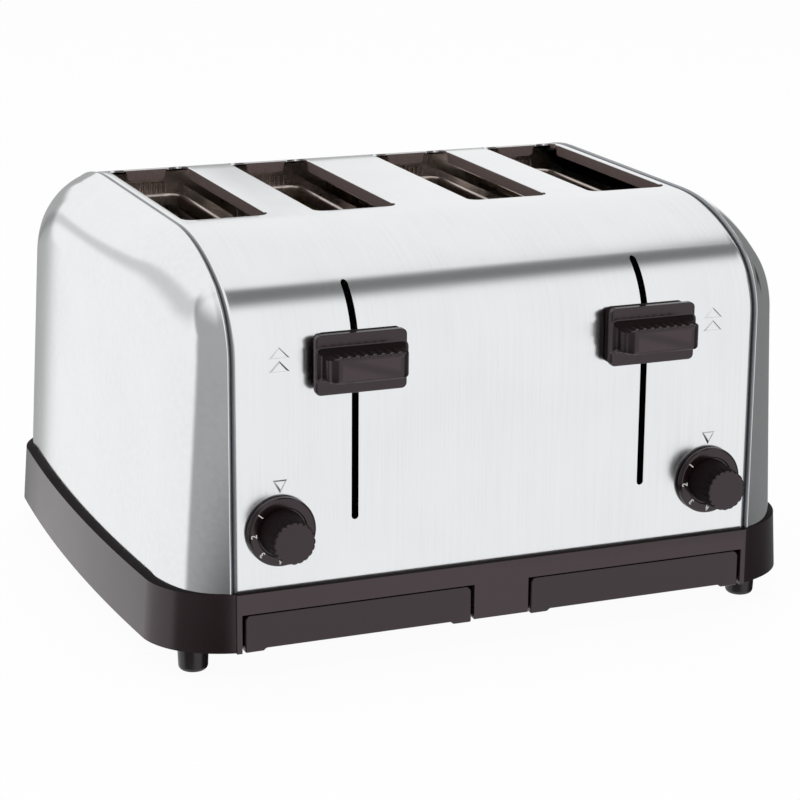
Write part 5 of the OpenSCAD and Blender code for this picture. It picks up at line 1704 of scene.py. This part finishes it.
@dataclass
class Studio:
    """Camera at the photograph's angle, pale floor, soft lamps and a white surround with grey cards."""

    azimuth: float = -22.171
    elevation: float = 15.077
    roll: float = 0.506
    distance: float = 1242.12
    target: Point = (0.0, -24.7, 112.0)
    focal_px: float = 2443.1
    centre_px: Flat = (413.94, 363.90)
    sensor_mm: float = 36.0
    clip_m: float = 100.0
    floor_size: float = 12.0
    floor_glow: float = 0.95
    lamp_aim: Point = (0.0, 0.0, 0.1)
    surround: float = 0.98
    backdrop: float = 1.04
    fill: float = 0.62
    gap_askew: Point = (0.31, 0.61, -25.0)
    losses: tuple[tuple[str, float], ...] = (
        ("gap", 0.82), ("left", 0.58), ("right", 0.77), ("low", 0.95), ("wall", 0.58), ("streak", 0.3))

    def camera(self) -> None:
        """Set up the camera."""
        a, e, r = (math.radians(v) for v in (self.azimuth, self.elevation, self.roll))
        back = Vector((math.sin(a) * math.cos(e), -math.cos(a) * math.cos(e), math.sin(e)))
        level = Vector((math.cos(a), math.sin(a), 0.0))
        up = back.cross(level)
        right = math.cos(r) * level + math.sin(r) * up
        above = -math.sin(r) * level + math.cos(r) * up
        data = bpy.data.cameras.new("photo_camera")
        data.sensor_width = self.sensor_mm
        data.lens = self.focal_px / IMAGE_PX * self.sensor_mm
        data.shift_x = (IMAGE_PX / 2 - self.centre_px[0]) / IMAGE_PX
        data.shift_y = (self.centre_px[1] - IMAGE_PX / 2) / IMAGE_PX
        data.clip_end = self.clip_m
        made = bpy.data.objects.new("photo_camera", data)
        turn = Matrix((right, above, back)).transposed().to_4x4()
        made.matrix_world = Matrix.Translation((Vector(self.target) + self.distance * back) * MM) @ turn
        bpy.context.scene.collection.objects.link(made)
        bpy.context.scene.camera = made

    def floor(self) -> None:
        """Lay the pale floor, which is white to the camera but keeps the object's shadow."""
        half = self.floor_size / 2 / MM
        skin = Skin()
        skin.cap([(-half, -half, 0.0), (half, -half, 0.0), (half, half, 0.0), (-half, half, 0.0)])
        made = skin.piece("studio_floor", closed=False)
        paper = bpy.data.materials.new("white_studio_paper")
        paper.use_nodes = True
        tree = paper.node_tree
        tree.nodes.clear()
        matte = add_node(tree, "ShaderNodeBsdfDiffuse", {"Color": linear("#F4F4F4")})
        glow = add_node(tree, "ShaderNodeEmission", {"Color": linear("#FFFFFF"), "Strength": 1.0})
        seen = add_node(tree, "ShaderNodeLightPath").outputs["Is Camera Ray"]
        share = add_node(tree, "ShaderNodeMath", {0: seen, 1: self.floor_glow}, operation="MULTIPLY")
        mixed = add_node(tree, "ShaderNodeMixShader", {
            0: share.outputs[0], 1: matte.outputs[0], 2: glow.outputs[0]})
        add_node(tree, "ShaderNodeOutputMaterial", {"Surface": mixed.outputs[0]})
        made.data.materials.append(paper)
        made.visible_glossy = False

    def lamp(self, name: str, spot: Point, watts: float, size: float) -> None:
        """Hang one soft square lamp that looks at the toaster.

        Args:
            name: Name of the lamp.
            spot: Place in metres.
            watts: Power.
            size: Length of its sides in metres.
        """
        data = bpy.data.lights.new(name, "AREA")
        data.energy = watts
        data.size = size
        made = bpy.data.objects.new(name, data)
        made.location = spot
        aim = Vector(self.lamp_aim) - Vector(spot)
        made.rotation_euler = aim.to_track_quat("-Z", "Y").to_euler()
        made.visible_glossy = False
        bpy.context.scene.collection.objects.link(made)

    def sums(self) -> list[tuple]:
        """Return the sums that give the light from a direction, whose x, y and z are known.

        Its turn is the angle round the vertical from the front, its rise the angle over the horizon and its
        over the angle at which it passes overhead from front to back, all in degrees.

        Returns:
            Of each sum its name, its operation or band, and its values, which are numbers or names of sums.
        """
        rows = [
            ("ahead", "MULTIPLY", "y", -1.0),
            ("turn_rad", "ARCTAN2", "x", "ahead"),
            ("turn", "DEGREES", "turn_rad"),
            ("over_rad", "ARCTAN2", "z", "ahead"),
            ("over", "DEGREES", "over_rad"),
            ("rise_rad", "ARCSINE", "z"),
            ("rise", "DEGREES", "rise_rad"),
            # Overhead gap between the lamps, a little askew: the dark band on the front's bend
            ("gap_line", "ADD", "over", "askew"),
            ("gap_over", Band((55.0, 74.0), (90.0, 98.0)), "gap_line"),
            ("gap_across", Band((0.0, 0.2)), "x"),
            ("gap", "MULTIPLY", "gap_over", "gap_across"),
            # Grey card to the left of the camera: the shaded front edge of the left end panel
            ("left_past", "SUBTRACT", "rise", 12.0),
            ("left_lean", "MAXIMUM", "left_past", 0.0),
            ("left_line", "MULTIPLY_ADD", "left_lean", 0.9, "turn"),
            ("left_turn", Band((-90.0, -79.0), (-20.0, -4.0)), "left_line"),
            ("left_rise", Band((-38.0, -32.0), (30.0, 62.0)), "rise"),
            ("left", "MULTIPLY", "left_turn", "left_rise"),
            # Dark card on the right: the right end panel
            ("right_turn", Band((48.0, 62.0), (138.0, 146.0)), "turn"),
            ("right_rise", Band((-44.0, -38.0), (24.0, 34.0)), "rise"),
            ("right", "MULTIPLY", "right_turn", "right_rise"),
            # Dark table edge below both cards: the dark corners of the base
            ("both", "MAXIMUM", "left", "right"),
            ("low_rise", Band(high=(-22.0, -17.0)), "rise"),
            ("low", "MULTIPLY", "both", "low_rise"),
            # Grey wall behind: the back edge of the left panel and the far ends of the bridges on the top
            ("far_left_turn", Band(high=(-171.0, -168.0)), "turn"),
            ("far_left_rise", Band(high=(2.0, 9.0)), "rise"),
            ("far_left", "MULTIPLY", "far_left_turn", "far_left_rise"),
            ("far_right_past", "SUBTRACT", 162.0, "turn"),
            ("far_right_lean", "MAXIMUM", "far_right_past", 0.0),
            ("far_right_line", "MULTIPLY_ADD", "far_right_lean", 1.6, "rise"),
            ("far_right_turn", Band((138.0, 148.0)), "turn"),
            ("far_right_rise", Band(high=(9.6, 11.2)), "far_right_line"),
            ("far_right", "MULTIPLY", "far_right_turn", "far_right_rise"),
            ("wall", "MAXIMUM", "far_left", "far_right"),
            # Slanted grey strip on the left, wider to the front: the streak over the left panel
            ("streak_middle", "MULTIPLY_ADD", "turn", 0.6, 98.8),
            ("streak_off", "SUBTRACT", "rise", "streak_middle"),
            ("streak_spread", "MULTIPLY_ADD", "turn", 0.27, 45.5),
            ("streak_width", "MAXIMUM", "streak_spread", 2.0),
            ("streak_line", "DIVIDE", "streak_off", "streak_width"),
            ("streak_across", Band((-1.7, -0.3), (0.3, 1.7)), "streak_line"),
            ("streak_turn", Band(high=(-110.0, -88.0)), "turn"),
            ("streak", "MULTIPLY", "streak_across", "streak_turn"),
        ]
        for card, loss in self.losses:
            rows += [(f"{card}_kept", "MULTIPLY_ADD", card, -loss, 1.0),
                     ("light", "MULTIPLY", "light", f"{card}_kept")]
        return rows + [("shiny", "MAXIMUM", "glossy", "through")]

    def world(self) -> None:
        """Surround the toaster with white, and with grey cards that only shiny surfaces see."""
        made = bpy.data.worlds.new("white_studio")
        bpy.context.scene.world = made
        made.use_nodes = True
        tree = made.node_tree
        tree.nodes.clear()
        way = add_node(tree, "ShaderNodeSeparateXYZ", {
            0: add_node(tree, "ShaderNodeTexCoord").outputs["Generated"]}).outputs
        path = add_node(tree, "ShaderNodeLightPath").outputs
        first, last, most = self.gap_askew
        askew = add_node(tree, "ShaderNodeMapRange", {
            "Value": way[0], "From Min": first, "From Max": last, "To Max": most}).outputs[0]
        found: dict[str, object] = {
            "x": way[0], "y": way[1], "z": way[2], "askew": askew, "light": self.surround,
            "glossy": path["Is Glossy Ray"], "through": path["Is Transmission Ray"]}
        for name, rule, *values in self.sums():
            inputs = {i: found.get(value, value) for i, value in enumerate(values)}
            if isinstance(rule, Band):
                found[name] = rule.mask(tree, inputs[0])
            else:
                found[name] = add_node(tree, "ShaderNodeMath", inputs, operation=rule).outputs[0]
        soft = add_node(tree, "ShaderNodeMix", {
            "Factor": found["shiny"], 2: self.fill, 3: found["light"]}).outputs[0]
        level = add_node(tree, "ShaderNodeMix", {
            "Factor": path["Is Camera Ray"], 2: soft, 3: self.backdrop}).outputs[0]
        sky = add_node(tree, "ShaderNodeBackground", {"Color": linear("#FFFFFF"), "Strength": level})
        add_node(tree, "ShaderNodeOutputWorld", {"Surface": sky.outputs[0]})

    def build(self) -> None:
        """Set up the studio."""
        bpy.context.scene.view_settings.view_transform = "Standard"
        self.camera()
        self.floor()
        self.lamp("key_softbox", spot=(-0.9, -1.1, 1.9), watts=14.0, size=1.4)
        self.lamp("top_softbox", spot=(0.4, 0.5, 2.2), watts=12.0, size=1.8)
        self.world()


def dress_frame(frame: dict) -> None:
    """Give every part whose own mesh is shown the finish of its slot."""
    slots = {row["node"]: row["material_slot"] for row in frame["record"]["subparts"]}
    for name, part in frame["nodes"].items():
        part.data.materials.clear()
        part.data.materials.append(SLOT_FINISHES[slots[name]].material())


def main() -> None:
    """Build the toaster's pieces in order, then the studio round them."""
    logging.basicConfig(level=logging.INFO, format="%(name)s: %(message)s")
    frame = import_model()
    dress_frame(frame)
    form = BodyForm.from_frame()
    wrap = WrapShell(form)
    Studio().build()
    wrap.build()
    ends = [EndPanel(form, side) for side in Side]
    for end in ends:
        end.build()
    BaseMoulding(form, ends[0]).build()
    Feet().build()
    CordGland().build()
    for side in Side:
        CrumbTray(side).build()
        LeverHandle(side).build()
        BrowningKnob(form, side).build()
        SlotChute(wrap, side).build()
        ReturnSpring(side).build()
        for place in ("outer", "inner"):
            BreadGuard(f"{side.word}_{place}_guards").build()


if __name__ == "__main__":
    main()
